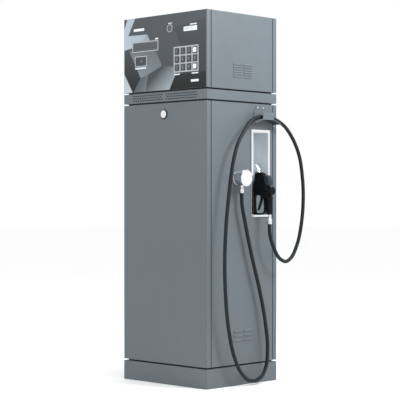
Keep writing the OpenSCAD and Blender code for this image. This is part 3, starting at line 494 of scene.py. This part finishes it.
def make_hose():
    line, crown = hose_line()
    lengths = [0.0]
    for a, b in zip(line, line[1:]):
        lengths.append(lengths[-1] + (b - a).length)
    bm = bmesh.new()
    tube(bm, line, HOSE_D / 2, HOSE_SIDES, (0, 0, -1), (0, 0, 1))
    piece = new_piece("delivery_hose", bm, [RUBBER], None, "hose_rubber", ("hose",), 60)
    # Laid out straight along its length, then put back in its shape
    shape = [v.co.copy() for v in piece.data.vertices]
    for i, vert in enumerate(piece.data.vertices):
        vert.co = (lengths[i // HOSE_SIDES], 0, 0)
    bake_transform(piece)
    for vert, spot in zip(piece.data.vertices, shape):
        vert.co = spot
    piece.data.update()
    return piece, line, lengths[-1]


def ferrule_profile(wide, neck, band, total):
    """A crimped hose ferrule: crimp rings, a shoulder and the neck above."""
    r = wide / 2
    steps = [(r - 1.2, 0.0), (r, 1.2), (r, 3.6), (r - 0.8, 4.2), (r - 0.8, 5.6), (r, 6.2), (r, 8.6),
             (r - 0.8, 9.2), (r - 0.8, 10.6), (r, 11.2), (r, band - 7), (neck / 2 + 1.5, band - 1),
             (neck / 2, band), (neck / 2, total)]
    return [(a * MM, b * MM) for a, b in steps]


def make_hose_fittings():
    """The chrome ferrules at the hose's ends: the sight glass's outlet and the nozzle's swivel."""
    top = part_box("outlet_fitting")
    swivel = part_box("hose_swivel")
    outlet_foot = ((top[0].x + top[1].x) / 2, (top[0].y + top[1].y) / 2, top[0].z)
    swivel_foot = ((swivel[0].x + swivel[1].x) / 2, NOZZLE_Y, swivel[0].z)
    outlet = turned(
        "outlet_ferrule", ferrule_profile(FERRULE_D, NECK_D, 25, 49), outlet_foot, UP, OUT,
        [CHROME], "root", "chrome", ("outlet_fitting",))
    nut = turned(
        "hose_end_ferrule", ferrule_profile(FERRULE_D, NECK_D, 27, 65), swivel_foot, UP, OUT,
        [CHROME], "hose_swivel", "chrome", ("hose_swivel",))
    return [outlet, nut]


hose, hose_path, hose_length = make_hose()
fittings = make_hose_fittings()
tuple(hose_path[0])
[tuple(p) for p in hose_path]


# ---- Cabinet ----

def make_cabinet():
    sheets = {
        "base_plinth": ("plinth", "root", 0.001),
        "right_side_panel": ("side_panel_right", "root", 0.0008),
        "left_side_panel": ("side_panel_left", "root", 0.0008),
        "front_panel": ("door_front", "front_panel", 0.0008),
        "rear_panel": ("door_rear", "rear_panel", 0.0008),
        "vent_band": ("band_vented", "root", 0.0005),
        "head_front_tray": ("head_front", "root", 0.0008),
        "head_rear_tray": ("head_rear", "root", 0.0008),
        "head_cover": ("head_cover_sheet", "root", 0.0006),
    }
    for node, (name, body, edge) in sheets.items():
        from_cad(node, name, [POWDER], body, "powder_coat", edge, smooth=14)
    make_hook()
    from_cad("cabinet_frame", "frame_tubes", [FRAME_PAINT], "root", "frame_paint", 0.0015)
    from_cad("head_base_tray", "head_tray", [FRAME_PAINT], "root", "frame_paint", 0.0006)


def make_hook():
    """The hook, with painted shade: the faces under its saddle take the black lock paint to stand in for
    the shade there.
    """
    plate_front = SIDE_X + 0.006

    # Painted shade: downward faces out from the plate get the black paint in place of the shade under the
    # saddle
    def pick(face):
        return 1 if face.normal.z < -0.3 and face.calc_center_median().x > plate_front else 0
    from_cad("hose_hook", "hook", [POWDER, LOCK_BLACK], "root", "powder_coat", 0.0008, pick)


def make_locks():
    for side in ("front", "rear"):
        case, plug = f"{side}_lock_case", f"{side}_lock_plug"
        from_cad(f"{side}_lock_body", case, [LOCK_BLACK], f"{side}_panel", "lock_black", 0.0006)
        from_cad(f"{side}_lock_barrel", plug, [CHROME], f"{side}_lock", "chrome", 0.0005)


def make_hook_screws():
    """Two domed screws with a socket, and their shanks."""
    low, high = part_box("fixing_screws")
    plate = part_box("hose_hook")[0].x + 0.003
    head_r, shank_r = 0.005, 0.0024
    head = [(0.0049, 0.0), (0.0049, 0.0012), (0.0044, 0.0024), (0.0034, 0.0031), (0.0026, 0.0034),
            (0.0024, 0.0033), (0.0023, 0.0012), (0.0001, 0.0011)]
    shank = [(shank_r, low.x - plate), (shank_r, 0.0)]
    bm = bmesh.new()
    for y in (low.y + head_r, high.y - head_r):
        seat = (plate, y, (low.z + high.z) / 2)
        spin_profile(bm, head, seat, OUT, UP, sides=48)
        spin_profile(bm, shank, seat, OUT, UP, sides=24)
    new_piece("hook_screws", bm, [CHROME], "root", "chrome", ("fixing_screws",), 50)


# ---- Head ----

HEAD_HALF = 290
# Facets of the print: place in PRINTS, and corners as x and height above the head's foot, in millimetres
FACETS = [
    (1, [(-205, 369), (-255, 287), (-290, 241), (-290, 307), (-262, 369)]),
    (8, [(-178, 238), (-118, 282), (-92, 238)]),
    (1, [(-257, 285), (-118, 282), (-92, 238), (-290, 214), (-290, 241)]),
    (2, [(-247, 208), (-60, 202), (-14, 120), (-112, 84), (-166, 69)]),
    (9, [(-112, 84), (-166, 69), (-220, 0), (-130, 0)]),
    (3, [(-14, 120), (80, 108), (80, 70), (38, 0), (-220, 0), (-166, 69), (-112, 84)]),
    (4, [(-290, 208), (-247, 208), (-166, 69), (-220, 0), (-290, 108)]),
    (5, [(-290, 104), (-224, 0), (-290, 0)]),
    (6, [(80, 70), (290, 76), (290, 0), (38, 0)]),
    (7, [(70, 300), (290, 330), (290, 76), (80, 70), (80, 108), (128, 190)]),
]


def inside(point, corners):
    """True where a point lies in an outline."""
    hit = False
    for (ax, az), (bx, bz) in zip(corners, corners[1:] + corners[:1]):
        if (az > point[1]) != (bz > point[1]) and point[0] < (bx - ax) * (point[1] - az) / (bz - az) + ax:
            hit = not hit
    return hit


def make_fascia():
    """The printed overlay, cut along the edges of its facets."""
    bm = cad_mesh("fascia_overlay", 0)
    for _, corners in FACETS:
        for (ax, az), (bx, bz) in zip(corners, corners[1:] + corners[:1]):
            if abs(ax) == abs(bx) == HEAD_HALF or az == bz == 0:
                continue
            way = Vector((bx - ax, 0, bz - az)).normalized()
            bmesh.ops.bisect_plane(
                bm, geom=list(bm.verts) + list(bm.edges) + list(bm.faces), dist=0.00001,
                plane_co=(ax * MM, 0, FOOT + az * MM), plane_no=(way.z, 0, -way.x))
    for face in bm.faces:
        centre = face.calc_center_median()
        spot = (centre.x / MM, (centre.z - FOOT) / MM)
        face.material_index = next((k for k, corners in FACETS if inside(spot, corners)), 0)
    new_piece("fascia_print", bm, PRINTS, "root", "overlay_print", ("fascia_overlay",), 30)


def frame_ring(bm, low, high, rim, front, back, soft=0.0008):
    """Adds a rectangular frame with rounded edges in the head's front."""
    half = rim / 2
    left, foot, right, top = low[0] + half, low[1] + half, high[0] - half, high[1] - half
    corners = [(left, foot), (right, foot), (right, top), (left, top)]
    outward = [(-1, -1), (1, -1), (1, 1), (-1, 1)]
    nick = soft * 0.3
    section = [
        (-half, back), (-half, front + soft), (-half + nick, front + nick), (-half + soft, front),
        (half - soft, front), (half - nick, front + nick), (half, front + soft), (half, back),
    ]
    rings = []
    for (x, z), (ox, oz) in zip(corners, outward):
        rings.append([bm.verts.new((x - u * ox, y, z - u * oz)) for u, y in section])
    for k in range(4):
        a, b = rings[k], rings[(k + 1) % 4]
        for i in range(len(section)):
            j = (i + 1) % len(section)
            bm.faces.new((a[i], b[i], b[j], a[j]))


def pane(bm, low, high, front, back, index):
    """Adds a pane with a bevelled rim."""
    edge = 0.0006
    nick = edge * 0.3
    flat = 0.004
    outline = [(low[0], low[1]), (high[0], low[1]), (high[0], high[1]), (low[0], high[1])]
    levels = [(0.0, back), (0.0, front + edge), (nick, front + nick), (edge, front), (flat, front)]
    rings = []
    for inset, y in levels:
        ring = []
        for x, z in outline:
            inward_x = inset if x == low[0] else -inset
            inward_z = inset if z == low[1] else -inset
            ring.append(bm.verts.new((x + inward_x, y, z + inward_z)))
        rings.append(ring)
    for a, b in zip(rings, rings[1:]):
        for i in range(4):
            j = (i + 1) % 4
            bm.faces.new((a[i], a[j], b[j], b[i])).material_index = index
    bm.faces.new(rings[-1]).material_index = index
    bm.faces.new(rings[0][::-1]).material_index = index


def seven_segment(bm, x, z, high, index, y):
    """Adds the faint bars of one unlit figure of a liquid-crystal display."""
    wide, bar = high * 0.5, high * 0.1
    gap, proud = bar * 0.7, 0.00012
    spots = [
        (0, high / 2, True), (0, 0, True), (0, -high / 2, True),
        (-wide / 2, high / 4, False), (wide / 2, high / 4, False),
        (-wide / 2, -high / 4, False), (wide / 2, -high / 4, False),
    ]
    for dx, dz, flat in spots:
        w, h = (wide / 2 - gap, bar / 2) if flat else (bar / 2, high / 4 - gap)
        block(bm, (x + dx - w, y - proud, z + dz - h), (x + dx + w, y, z + dz + h), index)


WINDOW_RIM = 0.004
RIM_FRONT = PRINT_Y - 0.001
PANE_BACK = PRINT_Y + 0.002
WELL_FRONT = PRINT_Y + 0.006


def framed_pane(bm, low, high, back):
    """Adds a window: a raised rim and the pane inside it."""
    rim = WINDOW_RIM
    frame_ring(bm, (low.x, low.z), (high.x, high.z), rim, RIM_FRONT, back)
    pane(bm, (low.x + rim, low.z + rim), (high.x - rim, high.z - rim), PRINT_Y, PANE_BACK, 1)


def make_display():
    ghost = Finish("lcd_ghost", tone(54, 60, 65), 0.3, specular=0.3).mottle(90, 0.05)
    low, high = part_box("display_window")
    bm = bmesh.new()
    framed_pane(bm, low, high, high.y)
    figures, margin, figure_h = 9, 0.022, 0.024
    step = (high.x - low.x - 2 * margin) / (figures - 1)
    for i in range(figures):
        seven_segment(bm, low.x + margin + i * step, (low.z + high.z) / 2, figure_h, 2, PRINT_Y)
    new_piece("display", bm, [TRIM, WINDOW, ghost], "root", "window_plastic", ("display_window",))


def make_reader():
    """The card reader's window, with three raised arcs, and its body behind the sheet."""
    low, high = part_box("card_reader")
    bm = bmesh.new()
    framed_pane(bm, low, high, WELL_FRONT)
    block(bm, (low.x, WELL_FRONT, low.z), (high.x, high.y, high.z), 1)
    middle = Vector(((low.x + high.x) / 2, PRINT_Y, (low.z + high.z) / 2))
    shift = 0.008
    for reach in (0.006, 0.0105, 0.015):
        turns = [radians(-38 + 76 * i / 14) for i in range(15)]
        arc = [middle + Vector((reach * cos(t) - shift, 0, reach * sin(t))) for t in turns]
        tube(bm, arc, 0.00045, 6)
    new_piece("contactless_reader", bm, [TRIM, READER_PANE], "root", "window_plastic", ("card_reader",))


def make_tag_ring():
    low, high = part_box("tag_reader")
    centre = Vector(((low.x + high.x) / 2, PRINT_Y, (low.z + high.z) / 2))
    window_r = 0.0163
    ring = [
        (0.016, high.y - PRINT_Y), (0.016, 0.0), (0.019, 0.0), (0.019, -0.0016), (0.0187, -0.0022),
        (0.0183, -0.0025), (0.0168, -0.0025), (0.0164, -0.0022), (0.0162, -0.0012), (0.012, -0.0011),
        (0.0002, -0.0012),
    ]
    bm = bmesh.new()
    for face in spin_profile(bm, ring, centre, (0, 1, 0), UP, sides=72):
        if (face.calc_center_median() - centre).xz.length < window_r:
            face.material_index = 1
    new_piece("tag_ring", bm, [STAINLESS, WINDOW], "root", "stainless", ("tag_reader",), 40)


def make_totalizer():
    """The totalizer's window, with its figures and the lines between its wheels."""
    low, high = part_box("totalizer")
    rim, margin, digits = 0.002, 0.004, "0024817"
    bm = bmesh.new()
    frame_ring(bm, (low.x, low.z), (high.x, high.z), rim, RIM_FRONT, WELL_FRONT, 0.0005)
    face_y = PRINT_Y + 0.001
    pane(bm, (low.x + rim, low.z + rim), (high.x - rim, high.z - rim), face_y, high.y, 0)
    pitch = (high.x - low.x - 2 * margin) / len(digits)
    for i, digit in enumerate(digits):
        x = low.x + margin + (i + 0.5) * pitch
        lettering(bm, digit, 0.0125, Vector((x, PRINT_Y + 0.0009, (low.z + high.z) / 2)), 0.0002, 1)
        if i:
            edge, half_line = x - pitch / 2, 0.0003
            block(bm, (edge - half_line, PRINT_Y + 0.0008, low.z + 0.003),
                  (edge + half_line, face_y, high.z - 0.003), 1)
    finishes = [DIAL_WHITE, DIGIT_DARK]
    new_piece("totalizer_window", bm, finishes, "root", "totalizer_white", ("totalizer",))


def rounded_square(reach, cut):
    """Outline of a square with rounded corners: half its width and the corners' radius."""
    outline = []
    for k, (side_u, side_v) in enumerate(((-1, -1), (1, -1), (1, 1), (-1, 1))):
        for i in range(6):
            turn = pi + k * pi / 2 + i * pi / 10
            u = (reach - cut) * side_u + cut * cos(turn)
            v = (reach - cut) * side_v + cut * sin(turn)
            outline.append((u, v))
    return outline


def key_patch(bm, mark, wide):
    """Adds the white patch on a key's cap, with a plain dark bar."""
    patch = [(-0.0118, -0.0098), (-0.0098, -0.0118), (0.0098, -0.0118), (0.0118, -0.0098),
             (0.0118, 0.0098), (0.0098, 0.0118), (-0.0098, 0.0118), (-0.0118, 0.0098)]
    corners = [bm.verts.new(mark + Vector((u, -0.00015, v))) for u, v in patch]
    backs = [bm.verts.new(mark + Vector((u, 0.0005, v))) for u, v in patch]
    bm.faces.new(corners).material_index = 1
    for i in range(len(patch)):
        j = (i + 1) % len(patch)
        bm.faces.new((corners[i], corners[j], backs[j], backs[i])).material_index = 1
    block(bm, mark + Vector((-wide, -0.0003, -0.0011)), mark + Vector((wide, 0.0002, 0.0011)), 2)


def make_key(node):
    """One key: a cushioned cap with its digit, and the flange that holds it in the bezel."""
    low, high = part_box(node)
    flange_t, flange_lip = 0.002, 0.002
    centre = Vector(((low.x + high.x) / 2, 0, (low.z + high.z) / 2))
    half = ((high.x - flange_lip) - (low.x + flange_lip)) / 2
    front = low.y
    sign = node.split("_")[1]
    bm = bmesh.new()
    levels = [
        (0.0, high.y - flange_t), (0.0, front + 0.0028), (0.0007, front + 0.0014),
        (0.002, front + 0.0005), (0.0038, front + 0.0003), (0.008, front + 0.0006),
    ]
    rings = []
    for inset, y in levels:
        reach = half - inset
        outline = rounded_square(reach, min(0.0035, reach * 0.5))
        rings.append([bm.verts.new((centre.x + u, y, centre.z + v)) for u, v in outline])
    for a, b in zip(rings, rings[1:]):
        for i in range(len(a)):
            j = (i + 1) % len(a)
            bm.faces.new((a[i], a[j], b[j], b[i]))
    bm.faces.new(rings[-1])
    block(bm, (low.x, high.y - flange_t, low.z), (high.x, high.y, high.z))
    mark = Vector((centre.x, front + 0.0005, centre.z))
    if sign in ("clear", "enter"):
        key_patch(bm, mark, 0.006 if sign == "enter" else 0.0045)
        finishes = [KEY_BLACK, KEY_WHITE, DIGIT_DARK]
    else:
        lettering(bm, sign, 0.022, mark, 0.0004, 1)
        finishes = [KEY_BLACK, KEY_PRINT]
    new_piece(f"{node}_cap", bm, finishes, node, "key_black", (node,), 50)


def make_keypad():
    from_cad("keypad_bezel", "keypad_frame", [BEZEL_GREY], "root", "bezel_grey", 0.0006)
    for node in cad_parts:
        if node.startswith("key_"):
            make_key(node)


# Caption bars: middle x, middle height above the head's foot, width and height, in millimetres
CAPTIONS = (
    (-178, 309, 76, 13), (-51, 256, 22, 7), (-166, 118, 78, 7), (92, 71.5, 38, 6),
    (213, 71.5, 44, 6), (212, 36, 52, 11), (202, 306, 46, 6), (43, 323, 26, 4),
)


def make_labels():
    """Plain bars where a dispenser has its printed captions."""
    proud = 0.0002
    bm = bmesh.new()
    for x, z, wide, high in CAPTIONS:
        low = ((x - wide / 2) * MM, PRINT_Y - proud, FOOT + (z - high / 2) * MM)
        block(bm, low, ((x + wide / 2) * MM, PRINT_Y, FOOT + (z + high / 2) * MM))
    soften(new_piece("caption_bars", bm, [LABEL], "root", "overlay_print"), 0.00008, 1)


# ---- Inside ----

def make_inside():
    plain = {
        "controller_board": (BOARD, "board_green", 0.0004),
        "power_supply": (STAINLESS, "stainless", 0.0012),
        "pump_unit": (CASTING, "casting_paint", 0.004),
        "flow_meter": (CASTING, "casting_paint", 0.003),
        "solenoid_valve": (BRASS, "valve_brass", 0.0015),
        "suction_pipe": (CASTING, "casting_paint", 0.001),
        "delivery_pipe": (STAINLESS, "stainless", 0.0008),
        "junction_box": (CASTING, "casting_paint", 0.003),
        "nozzle_sensor": (GREY, "nozzle_grey", 0.0008),
        "drive_belt": (BELT, "belt_rubber", 0.0008),
    }
    for node, (finish, slot, edge) in plain.items():
        from_cad(node, f"{node}_piece", [finish], "root", slot, edge)
    for node in ("motor_pulley", "pump_pulley"):
        from_cad(node, f"{node}_wheel", [STAINLESS], node, "stainless", 0.001)
    make_motor()


def make_motor():
    """The motor's CAD shape, with cooling ribs round its barrel."""
    low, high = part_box("motor")
    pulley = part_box("motor_pulley")
    axis = Vector(((low.x + high.x) / 2, 0, (pulley[0].z + pulley[1].z) / 2))
    barrel_r, rib_count, rib_high, rib_half = 0.075, 40, 0.005, 0.0011
    barrel_l, bare_end = 0.24, 0.03
    start, end = high.y - barrel_l + bare_end, high.y - bare_end
    bm = cad_mesh("motor")
    for i in range(rib_count):
        turn = tau * i / rib_count
        way = Vector((cos(turn), 0, sin(turn)))
        bare_top = radians(60) < turn < radians(120)
        if bare_top or way.z < -0.55:
            continue
        side = Vector((-way.z, 0, way.x)) * rib_half
        foot = axis + way * (barrel_r - 0.002)
        tip = axis + way * (barrel_r + rib_high)
        corners = [foot - side, foot + side, tip + side * 0.7, tip - side * 0.7]
        near = [bm.verts.new((c.x, start, c.z)) for c in corners]
        far = [bm.verts.new((c.x, end, c.z)) for c in corners]
        for a in range(4):
            b = (a + 1) % 4
            bm.faces.new((near[a], near[b], far[b], far[a]))
        bm.faces.new(near[::-1])
        bm.faces.new(far)
    soften(new_piece("motor_body", bm, [CASTING], "root", "casting_paint", ("motor",)), 0.0006, 1)


# ---- Nozzle pocket and sight glass ----

def make_pocket():
    def pick(face):
        return 1 if face.calc_center_median().x > SIDE_X + 0.0005 else 0
    from_cad("nozzle_pocket", "pocket", [POCKET_STEEL, POLISHED], "root", "stainless", 0.0008, pick)


def make_sight_glass():
    """The chrome body with its white well, the milky lens and the spinner."""
    x = SIGHT[0].x
    centre = Vector((x, *SIGHT_AXIS))
    face = SIGHT[1].x - x
    well_r, well_x = 0.0282, x + face - 0.0225
    outer = [
        (0.032, 0.0), (0.032, 0.0042), (0.0312, 0.005), (0.021, 0.0052), (0.021, 0.012), (0.0335, 0.0123),
        (0.035, 0.014), (0.035, face - 0.0226), (0.0392, face - 0.0222), (0.0402, face - 0.021),
        (SIGHT_R, face - 0.0195), (SIGHT_R, face - 0.0045), (0.0401, face - 0.0022),
        (0.0388, face - 0.0006), (0.0372, face), (0.0318, face), (0.0311, face - 0.0006),
        (0.0311, face - 0.006), (0.028, face - 0.0061), (0.028, face - 0.021), (0.0268, face - 0.022),
        (0.0025, face - 0.022), (0.0025, face - 0.009), (0.0018, face - 0.008), (0.0002, face - 0.0079),
    ]
    bm = bmesh.new()
    for part in spin_profile(bm, outer, centre, OUT, UP, sides=96):
        spot = part.calc_center_median()
        if spot.x > well_x and (spot - centre).yz.length < well_r:
            part.material_index = 1
    new_piece("sight_glass_body", bm, [CHROME, ENAMEL], "root", "chrome", ("sight_glass",), 38)
    lens = [
        (0.0302, face - 0.006), (0.0308, face - 0.0055), (0.0308, face - 0.002), (0.0302, face - 0.0014),
        (0.02, face - 0.0011), (0.0002, face - 0.001),
    ]
    turned("sight_window", lens, centre, OUT, UP, [GLASS], "root", "lens_glass", ("sight_lens",), sides=96)
    from_cad("sight_spinner", "spinner", [BLACK], "sight_spinner", "nozzle_black", 0.0003)


# ---- Nozzle ----

def nozzle_spot(out, high, across=0.0):
    """A point of the nozzle from its distance out, its height and its place across, in millimetres."""
    return Vector((SIDE_X + out * MM, NOZZLE_Y + across * MM, NOZZLE_Z + high * MM))


BODY = [(-6, 211), (14, 208), (31, 202), (37, 180), (43, 158), (56, 134), (66, 122), (66, 92),
        (30, 88), (8, 98), (-20, 102), (-40, 100), (-50, 122), (-40, 142), (-33.5, 158), (-30, 180),
        (-28, 200), (-22, 207)]
GUARD = [(-44, 112), (-39, 4), (-35, 0), (46, 0), (46, 100), (0, 104)]
FINGERS = [(-36, 90), (-32, 14), (-26, 8), (26, 8), (33, 16), (35, 76), (24, 90), (2, 96), (-22, 98)]
COVER = [(36, 182), (42, 194), (56, 194), (66, 184), (70, 160), (68, 143), (60, 138), (40, 150)]
LEVER_ARM = [(6, 101), (13, 88), (12, 74), (-10, 24)]


def applied(piece, kind, **settings):
    """Adds a modifier to a loose piece and keeps its result as the mesh."""
    modifier = piece.modifiers.new(kind.lower(), kind)
    for name, value in settings.items():
        setattr(modifier, name, value)
    bpy.context.view_layer.update()
    shape = bpy.data.meshes.new_from_object(piece.evaluated_get(bpy.context.evaluated_depsgraph_get()))
    piece.modifiers.clear()
    old = piece.data
    piece.data = shape
    bpy.data.meshes.remove(old)
    return piece


def loose(bm, name):
    mesh = bpy.data.meshes.new(name)
    bmesh.ops.recalc_face_normals(bm, faces=bm.faces)
    bm.to_mesh(mesh)
    bm.free()
    piece = bpy.data.objects.new(name, mesh)
    bpy.context.scene.collection.objects.link(piece)
    return piece


def body_spot(out, high, across):
    """A point of the body, which narrows from its middle to the spout's root."""
    narrow = min(1.0, max(0.0, (high - 128) / 44))
    return nozzle_spot(out, high, across * (1 - 0.34 * narrow))


def make_nozzle_body():
    voxel = 0.0014
    bm = bmesh.new()
    rounded_slab(bm, corner_cut(BODY), 23.0, 10.0, body_spot)
    rounded_slab(bm, corner_cut(GUARD), 12.0, 4.0, nozzle_spot)
    spin_profile(bm, [(0.0119, 0.001), (0.0119, 0.096)], nozzle_spot(62, 0), UP, OUT, sides=48)
    spin_profile(bm, [(0.017, 0.0), (0.017, 0.026)], nozzle_spot(40, 117), OUT, UP, sides=48)
    body = applied(loose(bm, "nozzle_casing"), "REMESH", mode="VOXEL", voxel_size=voxel)
    bm = bmesh.new()
    rounded_slab(bm, corner_cut(FINGERS), 40.0, 0.5, nozzle_spot)
    fingers = loose(bm, "finger_hole")
    bm = bmesh.new()
    block(bm, nozzle_spot(-3, 80, -8.2), nozzle_spot(26, 114, 8.2))
    slot = loose(bm, "lever_slot")
    for cutter in (fingers, slot):
        applied(body, "BOOLEAN", operation="DIFFERENCE", object=cutter, solver="EXACT")
        bpy.data.objects.remove(cutter)
    applied(body, "REMESH", mode="VOXEL", voxel_size=voxel)
    applied(body, "SMOOTH", factor=0.5, iterations=5)
    finish_piece(body, [BLACK], "nozzle", "nozzle_black", ("nozzle_body",), 60)
    bm = bmesh.new()
    rounded_slab(bm, corner_cut(COVER), 15.0, 6.0, nozzle_spot)
    new_piece("nozzle_cover", bm, [COVER_GREY], "nozzle", "nozzle_grey", (), 40)


def make_spout():
    """The spout: its collar, a straight stretch, the bend and the tip, open at its end."""
    root, tilt, bend = nozzle_spot(-10, 206), radians(25), radians(22)
    base, round_r, tip = 26 * MM, 60 * MM, 62 * MM
    way = Vector((-sin(tilt), 0, cos(tilt)))
    line = [root, root + way * 0.012, root + way * base]
    centre = line[-1] + Vector((-cos(tilt), 0, -sin(tilt))) * round_r
    for i in range(1, 9):
        turn = tilt + bend * i / 8
        line.append(centre + Vector((cos(turn), 0, sin(turn))) * round_r)
    last = Vector((-sin(tilt + bend), 0, cos(tilt + bend)))
    line += [line[-1] + last * tip * k / 6 for k in (1, 2, 3, 4, 5)] + [line[-1] + last * tip]
    outer, wall = 10.5 * MM, 1.6 * MM
    bm = bmesh.new()
    sides = 48
    outside = tube_open(bm, line, lambda i: outer - (0.0003 if i > 10 else 0), sides)
    inside_rings = tube_open(bm, line, lambda i: outer - wall, sides)
    for k in range(sides):
        m = (k + 1) % sides
        bm.faces.new((outside[-1][k], outside[-1][m], inside_rings[-1][m], inside_rings[-1][k]))
        bm.faces.new((outside[0][m], outside[0][k], inside_rings[0][k], inside_rings[0][m]))
    collar = [
        (0.0106, 0.007), (0.0168, 0.0072), (0.0175, 0.0082), (0.0175, 0.0118), (0.0169, 0.0122),
        (0.0169, 0.0134), (0.0175, 0.0138), (0.0175, 0.0238), (0.0168, 0.0248), (0.0106, 0.025),
    ]
    spin_profile(bm, collar, root, way, (0, 1, 0), sides=64)
    new_piece("spout_tube", bm, [CHROME], "nozzle", "stainless", ("spout",), 40)


def tube_open(bm, line, radius, sides):
    """A tube without ends; returns its rings."""
    start = len(bm.faces)
    rings = tube(bm, line, radius, sides)
    bm.faces.ensure_lookup_table()
    ends = [f for f in bm.faces[start:] if len(f.verts) == sides]
    bmesh.ops.delete(bm, geom=ends, context="FACES_ONLY")
    return rings


def make_lever():
    """The lever: a rounded trigger that narrows from its pivot to its tip."""
    outline_left, outline_right = [], []
    widths = [6.2, 4.6, 4.2, 3.8]
    points = [Vector(p) for p in LEVER_ARM]
    for i, point in enumerate(points):
        way = (points[min(i + 1, 3)] - points[max(i - 1, 0)]).normalized()
        across = Vector((way.y, -way.x))
        outline_left.append(tuple(point + across * widths[i]))
        outline_right.append(tuple(point - across * widths[i]))
    tip = points[-1] + (points[-1] - points[-2]).normalized() * 4
    head = points[0] + (points[0] - points[1]).normalized() * 5.5
    outline = [tuple(head)] + outline_left + [tuple(tip)] + outline_right[::-1]
    bm = bmesh.new()
    rounded_slab(bm, corner_cut(outline), 7.0, 2.2, nozzle_spot)
    new_piece("trigger", bm, [BLACK], "lever", "nozzle_black", ("lever",), 40)


def make_grip_and_knob():
    """The ribbed grip sleeve, and the fluted knob over the valve."""
    steps = [(15.5 - 1.6, 1.0), (15.2, 1.8), (15.5, 3.2)]
    for i in range(13):
        z = 7 + i * 5.8
        steps += [(15.5, z), (14.8, z + 0.5), (14.8, z + 1.5), (15.5, z + 2.0)]
    steps += [(15.5, 84.6), (15.0, 86.4), (14.0, 87.0)]
    grip = [(r * MM, h * MM) for r, h in steps]
    turned("grip_rubber", grip, nozzle_spot(62, 0), UP, OUT, [GREY],
           "nozzle", "nozzle_grey", ("grip_sleeve",))
    knob = [
        (17.5, 0.0), (19.2, 0.4), (20, 1.4), (20, 15.6), (19.4, 17.2), (18.2, 18.0), (16.0, 18.0),
        (15.8, 16.2), (7, 16.0), (6.4, 17.0), (0.2, 17.2),
    ]
    bm = bmesh.new()
    spin_profile(bm, [(r * MM, h * MM) for r, h in knob], nozzle_spot(66, 117), OUT, UP,
                 sides=144, flutes=24, flute=0.0007)
    new_piece("valve_knob", bm, [GREY], "nozzle", "nozzle_grey", ("nozzle_cap",), 40)


# ---- Studio ----

def make_studio():
    scene = bpy.context.scene
    scene.view_settings.view_transform = "Standard"
    world = bpy.data.worlds.new("studio")
    scene.world = world
    world.use_nodes = True
    tree = world.node_tree
    background = tree.nodes["Background"]
    background.inputs["Strength"].default_value = 1.0
    background.inputs["Color"].default_value = (1.0, 1.0, 1.0, 1.0)
    floor_bm = bmesh.new()
    bmesh.ops.create_grid(floor_bm, x_segments=8, y_segments=8, size=30)
    mesh = bpy.data.meshes.new("floor")
    floor_bm.to_mesh(mesh)
    floor_bm.free()
    floor = bpy.data.objects.new("floor", mesh)
    scene.collection.objects.link(floor)
    pale = Finish("floor_pale", (0.98, 0.98, 0.98, 1.0), 0.6, specular=0.05).mottle(0.6, 0.005)
    mesh.materials.append(pale.material)
    for name, spot, target, size, power in (
        ("key_right", (2.05, 0.65, 2.6), (0.25, 0.05, 1.35), 0.9, 64),
        ("fill_front", (-1.6, -3.6, 2.4), (0, 0, 1.1), 2.4, 30),
        ("top_soft", (0.4, -0.4, 4.2), (0, 0, 1.0), 2.6, 40),
    ):
        light = bpy.data.lights.new(name, "AREA")
        light.shape = "SQUARE"
        light.size = size
        light.energy = power
        lamp = bpy.data.objects.new(name, light)
        lamp.location = spot
        lamp.rotation_euler = (Vector(target) - Vector(spot)).to_track_quat("-Z", "Y").to_euler()
        scene.collection.objects.link(lamp)


make_cabinet()
make_locks()
make_hook_screws()
make_fascia()
make_display()
make_reader()
make_tag_ring()
make_totalizer()
make_keypad()
make_labels()
make_inside()
make_pocket()
make_sight_glass()
make_nozzle_body()
make_spout()
make_lever()
make_grip_and_knob()
make_studio()
